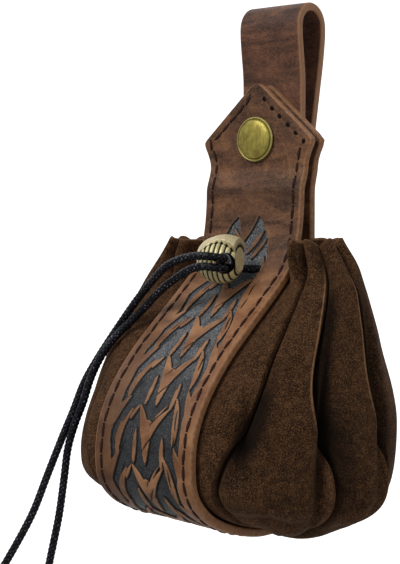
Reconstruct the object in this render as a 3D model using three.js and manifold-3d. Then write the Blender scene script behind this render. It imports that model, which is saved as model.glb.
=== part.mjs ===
// Medieval belt pouch.
// One leather strip is folded into the front, the bottom and the back, with a pointed head at each end.
// Two gathered suede gussets close the sides, a belt loop is riveted behind, a snap joins the heads,
// and a drawstring runs round the mouth and out through a ribbed metal bead.
// Millimetres, +Z up, the front faces -Y. The origin is the top of the belt space inside the loop.
import * as THREE from 'three';
import { mergeVertices } from 'three/addons/utils/BufferGeometryUtils.js';
import Module from 'manifold-3d';

const wasm = await Module();
wasm.setup();

// Leather, thread and clearances
const LEATHER = 2.8;
const SUEDE = 1.8;
const GAP = 0.3;
const SEAM = 6;
const CORD = 2.8;

// Strip: widths, and drops below the origin
const STRIP_WIDTH = 40;
const HEAD_WIDTH = 45.4;
const HEAD_TIP_DROP = 25;
const HEAD_HEIGHT = 27;
const NECK_DROP = 61;
const MOUTH_DROP = 77.5;
const BODY_HEIGHT = 92.3;

// Strip: how the two heads, the necks and the belly lie, front to back
const HEAD_SPACE = 2.6;
const NECK_SPACE = 3.1;
const BELLY_FRONT = 55;
const BELLY_BACK = 19.3;
const SIDE_REACH = 34.8;
const BOTTOM_LEAN = 1.2;
const LEAN_START = 0.68;

// Gusset folds
const GATHER_DEPTH = 4.2;
const FOLD_DEPTH = 11;
const FOLD_STEPS = 5;
const LEVELS = 18;
const SLOPE_STEP = 0.004;
const SLOPE_LIMIT = 1.4;

// Belt loop
const LOOP_WIDTH = 25;
const LOOP_SPACE = 10.4;
const LOOP_SETBACK = 1.8;
const LOOP_JOIN_DROP = 66;
const LOOP_END_DROP = 74;
const ARCH_STEPS = 14;
const BACK_STRAP_STEPS = 10;

// Snap and rivet
const SNAP_DROP = 43.3;
const CAP_WIDTH = 15;
const CAP_HEIGHT = 2;
const SOCKET_WIDTH = 10;
const STUD_WIDTH = 8.4;
const BACK_PLATE_WIDTH = 10;
const POST_WIDTH = 3.4;
const RIVET_WIDTH = 9;
const RIVET_DROP = 70;
const POST_ROOM = POST_WIDTH + 2 * GAP;
const HOLE_SIDES = 16;
const CUT_BEYOND = 1;
const SOCKET_DEPTH = 0.9;
const SOCKET_FLOOR = 0.2;
const CUP_WIDTH = 4.8;
const NUB_WIDTH = 3.8;
const NUB_HEIGHT = 1.5;
const FLANGE_HEIGHT = 0.5;
const PLATE_HEIGHT = 0.9;
const RIVET_INNER_HEIGHT = 0.9;
const RIVET_OUTER_HEIGHT = 1.6;

// Bead
const BEAD_WIDTH = 16.2;
const BEAD_LENGTH = 15.6;
const BEAD_TURN = 44;
const BEAD_PLACE = [1.5, -34.2, -84];
const BEAD_SIDES = 16;

// Cord and knots
const CORD_SIDES = 8;
const KNOT_SIDES = 12;
const DRAWSTRING_STEPS = 48;
const CORD_END_STEPS = 32;
const KNOT_WIDTH = 7;
const KNOT_LENGTH = 8.4;
const KNOT_TAIL = 5;

// Faces of the stack at the head, from the loop forwards
const HEAD_BACK_Y = -LOOP_SPACE / 2 - LEATHER + LOOP_SETBACK - GAP;
const HEAD_FRONT_Y = HEAD_BACK_Y - 2 * LEATHER - HEAD_SPACE;
const NECK_BACK_Y = HEAD_BACK_Y - LOOP_SETBACK;
const NECK_FRONT_Y = NECK_BACK_Y - 2 * LEATHER - NECK_SPACE;

// Head outline: down is a share of HEAD_HEIGHT. Out is a share of half the head's width down to the
// corner, and below it swell is the share of what the head is wider than the strip.
const HEAD_OUTLINE = [
  { down: 0, out: 0.05 },
  { down: 0.03, out: 0.12 },
  { down: 0.62, out: 0.91 },
  { down: 0.68, out: 0.985 },
  { down: 0.71, out: 1 },
  { down: 0.76, swell: 0.86 },
  { down: 0.86, swell: 0.38 },
  { down: 0.94, swell: 0.1 },
  { down: 1, swell: 0 },
];

// Sections of the body from the mouth down. drop is a share of BODY_HEIGHT. front is a share of
// BELLY_FRONT ahead of the neck, and back a share of BELLY_BACK behind it, below 0 where the bottom
// turns forwards. side is a share of SIDE_REACH beyond the strip's edge, middle is where the widest
// place lies between front and back, wrap is how far the section turns in behind its seams, in degrees,
// and left is the left gusset's reach as a share of the right one's.
const BODY = [
  { drop: 0, front: 0.036, back: 0, side: 0.37, middle: 0.44, wrap: 72, left: 1.3 },
  { drop: 0.081, front: 0.1, back: 0.088, side: 0.56, middle: 0.44, wrap: 60, left: 1.12 },
  { drop: 0.168, front: 0.26, back: 0.233, side: 0.7, middle: 0.5, wrap: 34, left: 1.04 },
  { drop: 0.276, front: 0.491, back: 0.456, side: 0.805, middle: 0.575, wrap: 15, left: 0.98 },
  { drop: 0.385, front: 0.709, back: 0.689, side: 0.88, middle: 0.618, wrap: 4, left: 0.93 },
  { drop: 0.504, front: 0.882, back: 0.907, side: 0.95, middle: 0.64, wrap: 0, left: 0.9 },
  { drop: 0.612, front: 0.973, back: 1, side: 0.995, middle: 0.642, wrap: 0, left: 0.9 },
  { drop: 0.72, front: 1, back: 0.979, side: 1, middle: 0.625, wrap: 0, left: 0.91 },
  { drop: 0.818, front: 0.973, back: 0.839, side: 0.957, middle: 0.608, wrap: 0, left: 0.92 },
  { drop: 0.894, front: 0.864, back: 0.534, side: 0.862, middle: 0.567, wrap: 0, left: 0.94 },
  { drop: 0.945, front: 0.709, back: 0.171, side: 0.71, middle: 0.525, wrap: 0, left: 0.96 },
  { drop: 0.978, front: 0.536, back: -0.269, side: 0.503, middle: 0.47, wrap: 0, left: 1 },
  { drop: 0.996, front: 0.382, back: -0.762, side: 0.26, middle: 0.47, wrap: 0, left: 1 },
  { drop: 1, front: 0.255, back: -1.172, side: 0, middle: 0.5, wrap: 0, left: 1 },
];

// Valleys between the folds of a gusset, from its front seam to its back seam. mouth, belly and low are
// shares of the way round at three heights, and deep and lowDeep are shares of FOLD_DEPTH.
const VALLEYS = [
  { mouth: 0, belly: 0, low: 0, gather: 0.1, deep: 0.04, lowDeep: 0.04 },
  { mouth: 0.15, belly: 0.14, low: 0.09, gather: 1, deep: 0.95, lowDeep: 0.42 },
  { mouth: 0.33, belly: 0.335, low: 0.44, gather: 1, deep: 1, lowDeep: 0.36 },
  { mouth: 0.5, belly: 0.57, low: 0.64, gather: 1, deep: 0.82, lowDeep: 0.3 },
  { mouth: 0.67, belly: 0.72, low: 0.75, gather: 1, deep: 0.72, lowDeep: 0.24 },
  { mouth: 0.84, belly: 0.86, low: 0.88, gather: 1, deep: 0.55, lowDeep: 0.18 },
  { mouth: 1, belly: 1, low: 1, gather: 0.1, deep: 0.04, lowDeep: 0.04 },
];
const FOLD_HEIGHTS = { rim: 0, gather: 0.1, belly: 0.5, low: 0.85, bottom: 1 };
const RIM_SHARE = 0.72;
const FOLD_ROUNDNESS = 0.75;

// Shares of the way from the neck to the mouth where the strip has stations.
const NECK_SHARES = [0.3, 0.55, 0.8];

// Where the loop's front strap leaves the head for the arch: shares of that way inwards and up.
const STRAP_TURN = { into: 0.75, up: 0.6 };

// Fittings, turned: out is a share of half the width, and up a share of the height above the leather.
const CAP_DOME = [
  { out: 0, up: 1 },
  { out: 0.45, up: 0.93 },
  { out: 0.75, up: 0.7 },
  { out: 0.93, up: 0.5 },
  { out: 1, up: 0.3 },
  { out: 0.97, up: 0 },
];
const RIVET_DOME = [
  { out: 0, up: 1 },
  { out: 0.7, up: 0.75 },
  { out: 0.97, up: 0.38 },
  { out: 1, up: 0 },
];
const FLAT_DOME = [
  { out: 0, up: 1 },
  { out: 0.6, up: 0.9 },
  { out: 1, up: 0.45 },
  { out: 1, up: 0 },
];
const RIVET_INNER_DOME = [
  { out: 0, up: 1 },
  { out: 0.7, up: 0.9 },
  { out: 1, up: 0 },
];
const KNOT_PROFILE = [
  { out: 0, along: -1 },
  { out: 0.55, along: -0.95 },
  { out: 0.92, along: -0.5 },
  { out: 1, along: 0 },
  { out: 0.92, along: 0.55 },
  { out: 0.55, along: 0.95 },
];

// Back strap of the loop: down and into are shares of its run from the arch to the join.
const BACK_STRAP = [
  { down: 0, into: 0 },
  { down: 0.06, into: 0.01 },
  { down: 0.2, into: 0.12 },
  { down: 0.35, into: 0.29 },
  { down: 0.55, into: 0.52 },
  { down: 0.78, into: 0.8 },
  { down: 1, into: 1 },
];

// Bead profile: radius and place along the axis as shares of half the bead's width and length.
const BEAD_PROFILE = [
  { out: 0.54, along: 1 },
  { out: 0.8, along: 0.8 },
  { out: 0.95, along: 0.42 },
  { out: 1, along: 0 },
];

// Drawstring round the mouth: from the bead through the strip, round both gussets and back to the bead
const DRAWSTRING_ROUTE = [
  [0.8, -33.5, -85.55], [-1.2, -31.4, -85.6], [-2.6, -29.2, -85.7], [-1.8, -27, -85.8], [1.2, -25.8, -86],
  [4.6, -25, -86.2], [7.4, -22.8, -86.3], [9.6, -19.4, -86.3], [12.6, -16.8, -86.3], [16.5, -15.6, -86.3],
  [20.5, -16.4, -86.3], [25, -18.9, -86.3], [30, -19.8, -86.3], [34.6, -17.8, -86.3], [36.4, -13.8, -86.3],
  [34.6, -9.6, -86.3], [30, -7.6, -86.3], [25, -8.6, -86.3], [20, -11.2, -86.3], [14, -12.6, -86.3],
  [7, -12.8, -86.3], [0, -12.9, -86.3], [-7, -12.8, -86.3], [-14, -12.6, -86.3], [-20, -11.2, -86.3],
  [-25.4, -8.6, -86.3], [-31, -7.6, -86.3], [-36.4, -9.6, -86.3], [-38.4, -13.8, -86.3],
  [-36.4, -17.8, -86.3], [-31, -19.8, -86.3], [-25.4, -18.9, -86.3], [-20.5, -16.4, -86.3],
  [-16.5, -15.6, -86.2], [-12.6, -16.8, -86], [-10, -19.6, -85.6], [-8.4, -22.8, -84.9],
  [-6.6, -25.8, -84], [-4.2, -28.6, -83], [-2, -30.8, -82.5], [0.8, -33.5, -82.45],
];

// Free cord ends: out of the bead, round to the left, over the left gusset and down
const CORD_END_LEFT_ROUTE = [
  [1.1, -33.8, -82.45], [3.2, -36, -82.4], [5, -37.8, -82.45], [6.8, -40.2, -82.4], [7, -42.3, -82.2],
  [6.4, -44.1, -81.9], [5, -45.6, -81.6], [3.2, -46.5, -81.5], [1.2, -46.9, -81.6], [-5.3, -47.1, -82.7],
  [-11.6, -46.9, -85.1], [-18.7, -46, -90.2], [-26, -45.1, -96.4], [-32.8, -45, -103.7],
  [-38.2, -46.4, -111.2], [-42, -48.5, -117.9], [-45.5, -50.8, -125.4], [-47.9, -53.4, -134.5],
  [-50.6, -56.3, -144], [-54, -59.9, -156.5], [-57.3, -63.5, -169], [-60.8, -67, -178.5],
  [-63.8, -70, -185.9],
];
const KNOT_LEFT_PLACE = [-66.3, -72.5, -192.1];
const CORD_END_RIGHT_ROUTE = [
  [1.1, -33.8, -85.55], [3.2, -36, -85.55], [5, -37.8, -85.55], [6.8, -40.2, -85.5], [6.9, -42.1, -85.4],
  [6.2, -43.8, -85.2], [4.8, -45.1, -85], [3, -45.7, -84.8], [-2.8, -45.5, -86], [-9, -45.4, -89.1],
  [-15.8, -45.2, -93.3], [-22.8, -45.2, -99.1], [-28.9, -46.2, -104.5], [-33.6, -48.7, -109.9],
  [-37.1, -51.3, -116], [-40.5, -52.6, -123.2], [-43, -53.9, -131.7], [-45.5, -55.4, -139.2],
  [-47.4, -56.6, -147], [-48.2, -57.7, -157.1], [-49.1, -59.3, -169.6], [-50.4, -61, -180],
  [-51.1, -61.9, -185.4],
];
const KNOT_RIGHT_PLACE = [-51.9, -63, -192.4];

const leatherLook = new THREE.MeshStandardMaterial({ color: 0x6e4430, roughness: 0.55, metalness: 0 });
const suedeLook = new THREE.MeshStandardMaterial({ color: 0x4a3527, roughness: 0.95, metalness: 0 });
const brassLook = new THREE.MeshStandardMaterial({ color: 0x8f8353, roughness: 0.4, metalness: 1 });
const beadLook = new THREE.MeshStandardMaterial({ color: 0xb3a874, roughness: 0.35, metalness: 1 });
const cordLook = new THREE.MeshStandardMaterial({ color: 0x14131a, roughness: 0.5, metalness: 0 });

const smoothStep = (u) => {
  const v = Math.min(Math.max(u, 0), 1);
  return v * v * (3 - 2 * v);
};
const mix = (a, b, u) => a + (b - a) * u;

// Value of one column of a table at t from 0 to 1, on a smooth curve through its rows.
function along(rows, column, t) {
  const last = rows.length - 1;
  const place = Math.min(Math.max(t, 0), 1) * last;
  const i = Math.min(Math.floor(place), last - 1);
  const u = place - i;
  const at = (k) => rows[k][column];
  const p1 = at(i);
  const p2 = at(i + 1);
  const p0 = i > 0 ? at(i - 1) : 2 * p1 - p2;
  const p3 = i + 2 <= last ? at(i + 2) : 2 * p2 - p1;
  const cubic = (3 * p1 - p0 - 3 * p2 + p3) * u ** 3;
  return 0.5 * (2 * p1 + (p2 - p0) * u + (2 * p0 - 5 * p1 + 4 * p2 - p3) * u * u + cubic);
}

// Closed solid from points and triangles, turned so that its faces point outwards.
function solidFrom(points, triangles) {
  let volume = 0;
  const cross = new THREE.Vector3();
  for (const [a, b, c] of triangles) {
    volume += cross.crossVectors(points[a], points[b]).dot(points[c]);
  }
  const turned = volume > 0 ? triangles : triangles.map(([a, b, c]) => [a, c, b]);
  const geometry = new THREE.BufferGeometry();
  const flat = points.flatMap((p) => [p.x, p.y, p.z]);
  geometry.setAttribute('position', new THREE.Float32BufferAttribute(flat, 3));
  geometry.setIndex(turned.flat());
  return geometry;
}

function toManifold(geometry) {
  const bare = geometry.clone();
  bare.deleteAttribute('normal');
  bare.deleteAttribute('uv');
  const merged = mergeVertices(bare, 1e-4);
  const index = merged.index.array;
  return new wasm.Manifold(new wasm.Mesh({
    numProp: 3,
    vertProperties: new Float32Array(merged.attributes.position.array),
    triVerts: new Uint32Array(index),
  }));
}

function fromManifold(solid) {
  const mesh = solid.getMesh();
  const geometry = new THREE.BufferGeometry();
  geometry.setAttribute('position', new THREE.BufferAttribute(new Float32Array(mesh.vertProperties), 3));
  geometry.setIndex(new THREE.BufferAttribute(new Uint32Array(mesh.triVerts), 1));
  return geometry;
}

const cutFrom = (geometry, tools) => fromManifold(
  tools.reduce((solid, tool) => solid.subtract(toManifold(tool)), toManifold(geometry)));

// Hole for a post along Y at the given drop, cut a little beyond both faces.
function postHole(drop, fromY, toY) {
  const length = toY - fromY + 2 * CUT_BEYOND;
  const hole = new THREE.CylinderGeometry(POST_ROOM / 2, POST_ROOM / 2, length, HOLE_SIDES);
  return hole.translate(0, (fromY + toY) / 2, -drop);
}

// Solid of revolution about the Y direction through x = 0 at the given drop. The profile is a list of
// [radius, y] that starts and ends on the axis.
function turnedAlongY(profile, drop, sides) {
  const points = profile.map(([r, y]) => new THREE.Vector2(r, y));
  const turned = mergeVertices(bareOf(new THREE.LatheGeometry(points, sides)), 1e-4);
  return closedFrom(turned).translate(0, 0, -drop);
}

function bareOf(geometry) {
  geometry.deleteAttribute('normal');
  geometry.deleteAttribute('uv');
  return geometry;
}

// The same geometry without the flat triangles at its poles, turned outwards.
function closedFrom(geometry) {
  const position = geometry.attributes.position;
  const points = [];
  for (let i = 0; i < position.count; i += 1) {
    points.push(new THREE.Vector3().fromBufferAttribute(position, i));
  }
  const triangles = [];
  for (let i = 0; i < geometry.index.count; i += 3) {
    const corner = [0, 1, 2].map((k) => geometry.index.getX(i + k));
    if (new Set(corner).size === 3) {
      triangles.push(corner);
    }
  }
  return solidFrom(points, triangles);
}

// Ribbon of leather: stations hold y and z of the outer face and the half width there. The leather lies
// on the left of the way, which runs from station to station in the YZ plane.
function ribbon(stations, thickness) {
  const points = [];
  const normals = normalsOf(stations);
  stations.forEach((s, i) => {
    const inner = { y: s.y - normals[i].y * thickness, z: s.z - normals[i].z * thickness };
    points.push(new THREE.Vector3(-s.half, s.y, s.z), new THREE.Vector3(s.half, s.y, s.z));
    points.push(new THREE.Vector3(s.half, inner.y, inner.z), new THREE.Vector3(-s.half, inner.y, inner.z));
  });
  const triangles = [[0, 1, 2], [0, 2, 3]];
  for (let i = 0; i + 1 < stations.length; i += 1) {
    for (let k = 0; k < 4; k += 1) {
      const a = 4 * i + k;
      const b = 4 * i + ((k + 1) % 4);
      triangles.push([a, a + 4, b + 4], [a, b + 4, b]);
    }
  }
  const end = 4 * (stations.length - 1);
  triangles.push([end, end + 2, end + 1], [end, end + 3, end + 2]);
  return solidFrom(points, triangles);
}

// Outward normals of a way in the YZ plane that goes down in front, back under and up behind.
function normalsOf(stations) {
  return stations.map((s, i) => {
    const a = stations[Math.max(i - 1, 0)];
    const b = stations[Math.min(i + 1, stations.length - 1)];
    const length = Math.hypot(b.y - a.y, b.z - a.z);
    return { y: (b.z - a.z) / length, z: -(b.y - a.y) / length };
  });
}

// The bottom hangs a little lower on the right than on the left.
const leanFrom = -MOUTH_DROP - LEAN_START * BODY_HEIGHT;
const leanSpan = (1 - LEAN_START) * BODY_HEIGHT;
const leanAt = (x, z) => z - BOTTOM_LEAN * (x / (STRIP_WIDTH / 2)) * smoothStep((leanFrom - z) / leanSpan);
function settled(geometry) {
  const position = geometry.attributes.position;
  for (let i = 0; i < position.count; i += 1) {
    position.setZ(i, leanAt(position.getX(i), position.getZ(i)));
  }
  return geometry;
}

// Body stations shared by the strip and the gussets
const levels = Array.from({ length: LEVELS + 1 }, (_, i) => i / LEVELS);
const bodyZ = (t) => -MOUTH_DROP - BODY_HEIGHT * along(BODY, 'drop', t);
const frontY = (t) => NECK_FRONT_Y - BELLY_FRONT * along(BODY, 'front', t);
const backY = (t) => NECK_BACK_Y + BELLY_BACK * along(BODY, 'back', t);
const bodyFront = levels.map((t) => ({ y: frontY(t), z: bodyZ(t), half: STRIP_WIDTH / 2 }));
const bodyBack = levels.map((t) => ({ y: backY(t), z: bodyZ(t), half: STRIP_WIDTH / 2 }));

// Bend between head and neck, as shares of the way from the waist to the neck
const waistDrop = HEAD_TIP_DROP + HEAD_HEIGHT;
const bend = [0.25, 0.5, 0.75, 1].map((share) => ({ share, drop: mix(waistDrop, NECK_DROP, share) }));

// Head and neck stations of one end of the strip, from the tip to just above the mouth
function headStations(headY, neckY, mouthY) {
  const wider = (HEAD_WIDTH - STRIP_WIDTH) / 2;
  const outline = HEAD_OUTLINE.map((row) => {
    const half = row.out === undefined ? STRIP_WIDTH / 2 + wider * row.swell : HEAD_WIDTH / 2 * row.out;
    return { y: headY, z: -HEAD_TIP_DROP - HEAD_HEIGHT * row.down, half };
  });
  const half = STRIP_WIDTH / 2;
  const bent = bend.map(({ share, drop }) => ({ y: mix(headY, neckY, smoothStep(share)), z: -drop, half }));
  const neck = NECK_SHARES.map((share) => (
    { y: mix(neckY, mouthY, share ** 2), z: -mix(NECK_DROP, MOUTH_DROP, share), half }));
  return [...outline, ...bent, ...neck];
}

const stripStations = [
  ...headStations(HEAD_FRONT_Y, NECK_FRONT_Y, frontY(0)),
  ...bodyFront,
  ...bodyBack.slice(0, -1).reverse(),
  ...headStations(HEAD_BACK_Y, NECK_BACK_Y, backY(0)).reverse(),
];

function makeStrip(drawstringRoom) {
  const snapHole = postHole(SNAP_DROP, HEAD_FRONT_Y, HEAD_BACK_Y);
  const rivetHole = postHole(RIVET_DROP, NECK_BACK_Y - LEATHER, NECK_BACK_Y);
  return cutFrom(settled(ribbon(stripStations, LEATHER)), [snapHole, rivetHole, ...drawstringRoom]);
}

// Seam lines: the strip's inner face, a gap inside it
const stripNormals = normalsOf(stripStations);
const seamAt = (station) => {
  const i = stripStations.indexOf(station);
  const inset = LEATHER + GAP;
  const n = stripNormals[i];
  return { y: station.y - n.y * inset, z: station.z - n.z * inset, n };
};
const frontSeam = bodyFront.map(seamAt);
const backSeam = bodyBack.map((s, i) => (i === LEVELS ? frontSeam[LEVELS] : seamAt(s)));

// A seam value at any t, straight between levels
function seamValue(seam, t) {
  const place = Math.min(t, 1) * LEVELS;
  const i = Math.min(Math.floor(place), LEVELS - 1);
  const u = place - i;
  return { y: mix(seam[i].y, seam[i + 1].y, u), z: mix(seam[i].z, seam[i + 1].z, u) };
}

// Smooth outline of a gusset's section at t, before its folds: a part of an ellipse from the front seam
// round to the back seam, with share its way round by length.
const OUTLINE_STEPS = 80;
function outlineAt(t, side) {
  const front = seamValue(frontSeam, t);
  const back = seamValue(backSeam, t);
  const wrap = Math.max(along(BODY, 'wrap', t), 0) * Math.PI / 180;
  const left = side < 0 ? along(BODY, 'left', t) : 1;
  const reach = Math.max(SIDE_REACH * along(BODY, 'side', t) * left - GAP, 0.5);
  const halfWide = reach / (1 + Math.sin(wrap));
  const centreX = STRIP_WIDTH / 2 + GAP + halfWide * Math.sin(wrap);
  const centreY = mix(front.y, back.y, along(BODY, 'middle', t));
  const low = bodyZ(t);
  const points = [];
  const lengths = [0];
  for (let i = 0; i <= OUTLINE_STEPS; i += 1) {
    const share = i / OUTLINE_STEPS;
    const angle = mix(-wrap, Math.PI + wrap, share);
    const reachY = (angle < Math.PI / 2 ? centreY - front.y : back.y - centreY) / Math.cos(wrap);
    const seamZ = mix(front.z, back.z, share);
    points.push(new THREE.Vector3(
      side * (centreX + halfWide * Math.sin(angle)),
      centreY - reachY * Math.cos(angle),
      mix(seamZ, low, Math.sin(Math.PI * share) ** 2)));
    if (i > 0) {
      lengths.push(lengths[i - 1] + points[i].distanceTo(points[i - 1]));
    }
  }
  return { points, lengths };
}

function pointOn(outline, share) {
  const { points, lengths } = outline;
  const want = Math.min(Math.max(share, 0), 1) * lengths[OUTLINE_STEPS];
  let i = 1;
  while (i < OUTLINE_STEPS && lengths[i] < want) {
    i += 1;
  }
  const u = (want - lengths[i - 1]) / (lengths[i] - lengths[i - 1]);
  return points[i - 1].clone().lerp(points[i], u);
}

// Places and depths of the valleys at t
function valleysAt(t) {
  const h = FOLD_HEIGHTS;
  const between = (stops, values) => {
    let i = 1;
    while (i < stops.length - 1 && t > stops[i]) {
      i += 1;
    }
    const u = (t - stops[i - 1]) / (stops[i] - stops[i - 1]);
    return mix(values[i - 1], values[i], smoothStep(u));
  };
  return VALLEYS.map((v) => {
    const gather = v.gather * GATHER_DEPTH;
    const depths = [gather * RIM_SHARE, gather, v.deep * FOLD_DEPTH, v.lowDeep * FOLD_DEPTH, 0];
    return {
      share: between([h.rim, h.belly, h.low, h.bottom], [v.mouth, v.belly, v.low, v.low]),
      depth: between([h.rim, h.gather, h.belly, h.low, h.bottom], depths),
    };
  });
}

// How far the folded surface lies inside the smooth outline at a share of the way round
function foldDepth(valleys, share) {
  let i = 1;
  while (i < valleys.length - 1 && share > valleys[i].share) {
    i += 1;
  }
  const a = valleys[i - 1];
  const b = valleys[i];
  const u = Math.min(Math.max((share - a.share) / (b.share - a.share), 0), 1);
  const crest = Math.sin(Math.PI * u) ** FOLD_ROUNDNESS;
  return (1 - crest) * mix(a.depth, b.depth, u);
}

// One gusset: an outer and an inner skin joined along the rim and along the turned-in seams
function gussetShell(side) {
  const step = SLOPE_STEP;
  const outer = [];
  const inner = [];
  for (const t of levels.slice(0, -1)) {
    const outline = outlineAt(t, side);
    const above = outlineAt(Math.max(t - step, 0), side);
    const below = outlineAt(Math.min(t + step, 1), side);
    const length = outline.lengths[OUTLINE_STEPS];
    const valleys = valleysAt(t);
    const shares = [];
    for (let k = 1; k < valleys.length; k += 1) {
      for (let j = 0; j < FOLD_STEPS; j += 1) {
        shares.push(mix(valleys[k - 1].share, valleys[k].share, j / FOLD_STEPS));
      }
    }
    shares.push(1);
    const normalAt = (share) => {
      const round = pointOn(outline, share + step).sub(pointOn(outline, share - step));
      const down = pointOn(below, share).sub(pointOn(above, share));
      return round.cross(down).normalize().multiplyScalar(-side);
    };
    const outerRow = [];
    const innerRow = [];
    shares.forEach((share) => {
      const n = normalAt(share);
      const depth = foldDepth(valleys, share);
      const before = foldDepth(valleys, Math.max(share - step, 0));
      const after = foldDepth(valleys, Math.min(share + step, 1));
      const slope = (after - before) / (2 * step * length);
      const thick = SUEDE * Math.min(Math.hypot(1, slope), SLOPE_LIMIT);
      const p = pointOn(outline, share);
      outerRow.push(p.clone().addScaledVector(n, -depth));
      innerRow.push(p.clone().addScaledVector(n, -depth - thick));
    });
    for (const [seam, put] of [[frontSeam, 'unshift'], [backSeam, 'push']]) {
      const near = seamValue(seam, t);
      const i = Math.min(Math.round(t * LEVELS), LEVELS);
      const n = seam[i].n;
      const x = side * (STRIP_WIDTH / 2 - SEAM);
      outerRow[put](new THREE.Vector3(x, near.y, near.z));
      innerRow[put](new THREE.Vector3(x, near.y - n.y * SUEDE, near.z - n.z * SUEDE));
    }
    outer.push(outerRow);
    inner.push(innerRow);
  }
  return shellFrom(outer, inner);
}

// Joins two skins of rows of points. The last row is closed by a ladder between its two halves.
function shellFrom(outer, inner) {
  const rows = outer.length;
  const wide = outer[0].length;
  const points = [...outer.flat(), ...inner.flat()];
  const at = (skin, i, j) => skin * rows * wide + i * wide + j;
  const triangles = [];
  const quad = (a, b, c, d) => triangles.push([a, b, c], [a, c, d]);
  for (let i = 0; i + 1 < rows; i += 1) {
    for (let j = 0; j + 1 < wide; j += 1) {
      quad(at(0, i, j), at(0, i, j + 1), at(0, i + 1, j + 1), at(0, i + 1, j));
      quad(at(1, i, j), at(1, i + 1, j), at(1, i + 1, j + 1), at(1, i, j + 1));
    }
    quad(at(0, i, 0), at(0, i + 1, 0), at(1, i + 1, 0), at(1, i, 0));
    quad(at(0, i, wide - 1), at(1, i, wide - 1), at(1, i + 1, wide - 1), at(0, i + 1, wide - 1));
  }
  for (let j = 0; j + 1 < wide; j += 1) {
    quad(at(0, 0, j), at(1, 0, j), at(1, 0, j + 1), at(0, 0, j + 1));
  }
  const end = rows - 1;
  for (let j = 0; j + 1 < wide - 1 - j; j += 1) {
    const k = wide - 1 - j;
    if (j + 1 === k - 1) {
      triangles.push([at(0, end, j), at(0, end, j + 1), at(0, end, k)]);
      triangles.push([at(1, end, j), at(1, end, k), at(1, end, j + 1)]);
    } else {
      quad(at(0, end, j), at(0, end, j + 1), at(0, end, k - 1), at(0, end, k));
      quad(at(1, end, j), at(1, end, k), at(1, end, k - 1), at(1, end, j + 1));
    }
  }
  quad(at(0, end, 0), at(0, end, wide - 1), at(1, end, wide - 1), at(1, end, 0));
  return solidFrom(points, triangles);
}

const makeGusset = (side, drawstringRoom) => cutFrom(settled(gussetShell(side)), drawstringRoom);

// Belt loop: up the front strap, over the arch and down the back strap to where both lie together
function makeLoop() {
  const half = LOOP_WIDTH / 2;
  const outerRadius = LOOP_SPACE / 2 + LEATHER;
  const archZ = -LOOP_SPACE / 2;
  const onNeck = NECK_BACK_Y + GAP;
  const onHead = HEAD_BACK_Y + GAP;
  const front = [
    { y: onNeck, z: -LOOP_END_DROP },
    { y: onNeck, z: -LOOP_JOIN_DROP },
    ...bend.map(({ share, drop }) => ({ y: mix(onHead, onNeck, smoothStep(share)), z: -drop })).reverse(),
    { y: onHead, z: -waistDrop },
    { y: onHead, z: -HEAD_TIP_DROP },
  ];
  front.push({
    y: mix(onHead, -outerRadius, STRAP_TURN.into),
    z: mix(-HEAD_TIP_DROP, archZ, STRAP_TURN.up),
  });
  const arch = [];
  for (let i = 0; i <= ARCH_STEPS; i += 1) {
    const angle = Math.PI * (1 - i / ARCH_STEPS);
    arch.push({ y: outerRadius * Math.cos(angle), z: archZ + outerRadius * Math.sin(angle) });
  }
  const joined = onNeck + 2 * LEATHER + GAP;
  const back = [];
  for (let i = 1; i <= BACK_STRAP_STEPS; i += 1) {
    const t = i / BACK_STRAP_STEPS;
    const down = along(BACK_STRAP, 'down', t);
    const into = along(BACK_STRAP, 'into', t);
    back.push({ y: mix(outerRadius, joined, into), z: mix(archZ, -LOOP_JOIN_DROP, down) });
  }
  back.push({ y: joined, z: -LOOP_END_DROP });
  const stations = [...front, ...arch, ...back].map((s) => ({ ...s, half }));
  const studHole = postHole(SNAP_DROP, onHead, onHead + LEATHER);
  const rivetHole = postHole(RIVET_DROP, onNeck, joined);
  return cutFrom(ribbon(stations.reverse(), LEATHER), [studHole, rivetHole]);
}

// Half profile of a fitting's face above the leather at faceY, towards -1 or +1 along Y
const domed = (rows, width, height, faceY, towards) => rows.map(
  ({ out, up }) => [out * width / 2, faceY + towards * up * height]);

// Snap cap: domed cap in front, post through the front head, socket ring behind it
function makeSnapCap() {
  const face = HEAD_FRONT_Y - GAP;
  const post = POST_WIDTH / 2;
  const socketFront = HEAD_FRONT_Y + LEATHER + GAP;
  const socketBack = socketFront + SOCKET_DEPTH;
  const socket = SOCKET_WIDTH / 2;
  const cup = CUP_WIDTH / 2;
  const profile = [
    ...domed(CAP_DOME, CAP_WIDTH, CAP_HEIGHT, face, -1), [post, face], [post, socketFront],
    [socket, socketFront], [socket, socketBack], [cup, socketBack], [cup, socketFront + SOCKET_FLOOR],
    [0, socketFront + SOCKET_FLOOR],
  ];
  return turnedAlongY(profile, SNAP_DROP, BEAD_SIDES);
}

// Snap stud: nub in the socket, flange on the back head, post through head and loop, plate behind
function makeSnapStud() {
  const headFace = HEAD_BACK_Y - LEATHER - GAP;
  const strapFace = HEAD_BACK_Y + GAP + LEATHER + GAP;
  const flange = STUD_WIDTH / 2;
  const nub = NUB_WIDTH / 2;
  const post = POST_WIDTH / 2;
  const profile = [
    [0, headFace - NUB_HEIGHT], [nub, headFace - NUB_HEIGHT + SOCKET_FLOOR],
    [nub, headFace - FLANGE_HEIGHT], [flange, headFace - FLANGE_HEIGHT], [flange, headFace],
    [post, headFace], [post, strapFace],
    ...domed(FLAT_DOME, BACK_PLATE_WIDTH, PLATE_HEIGHT, strapFace, 1).reverse(),
  ];
  return turnedAlongY(profile, SNAP_DROP, HOLE_SIDES);
}

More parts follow.
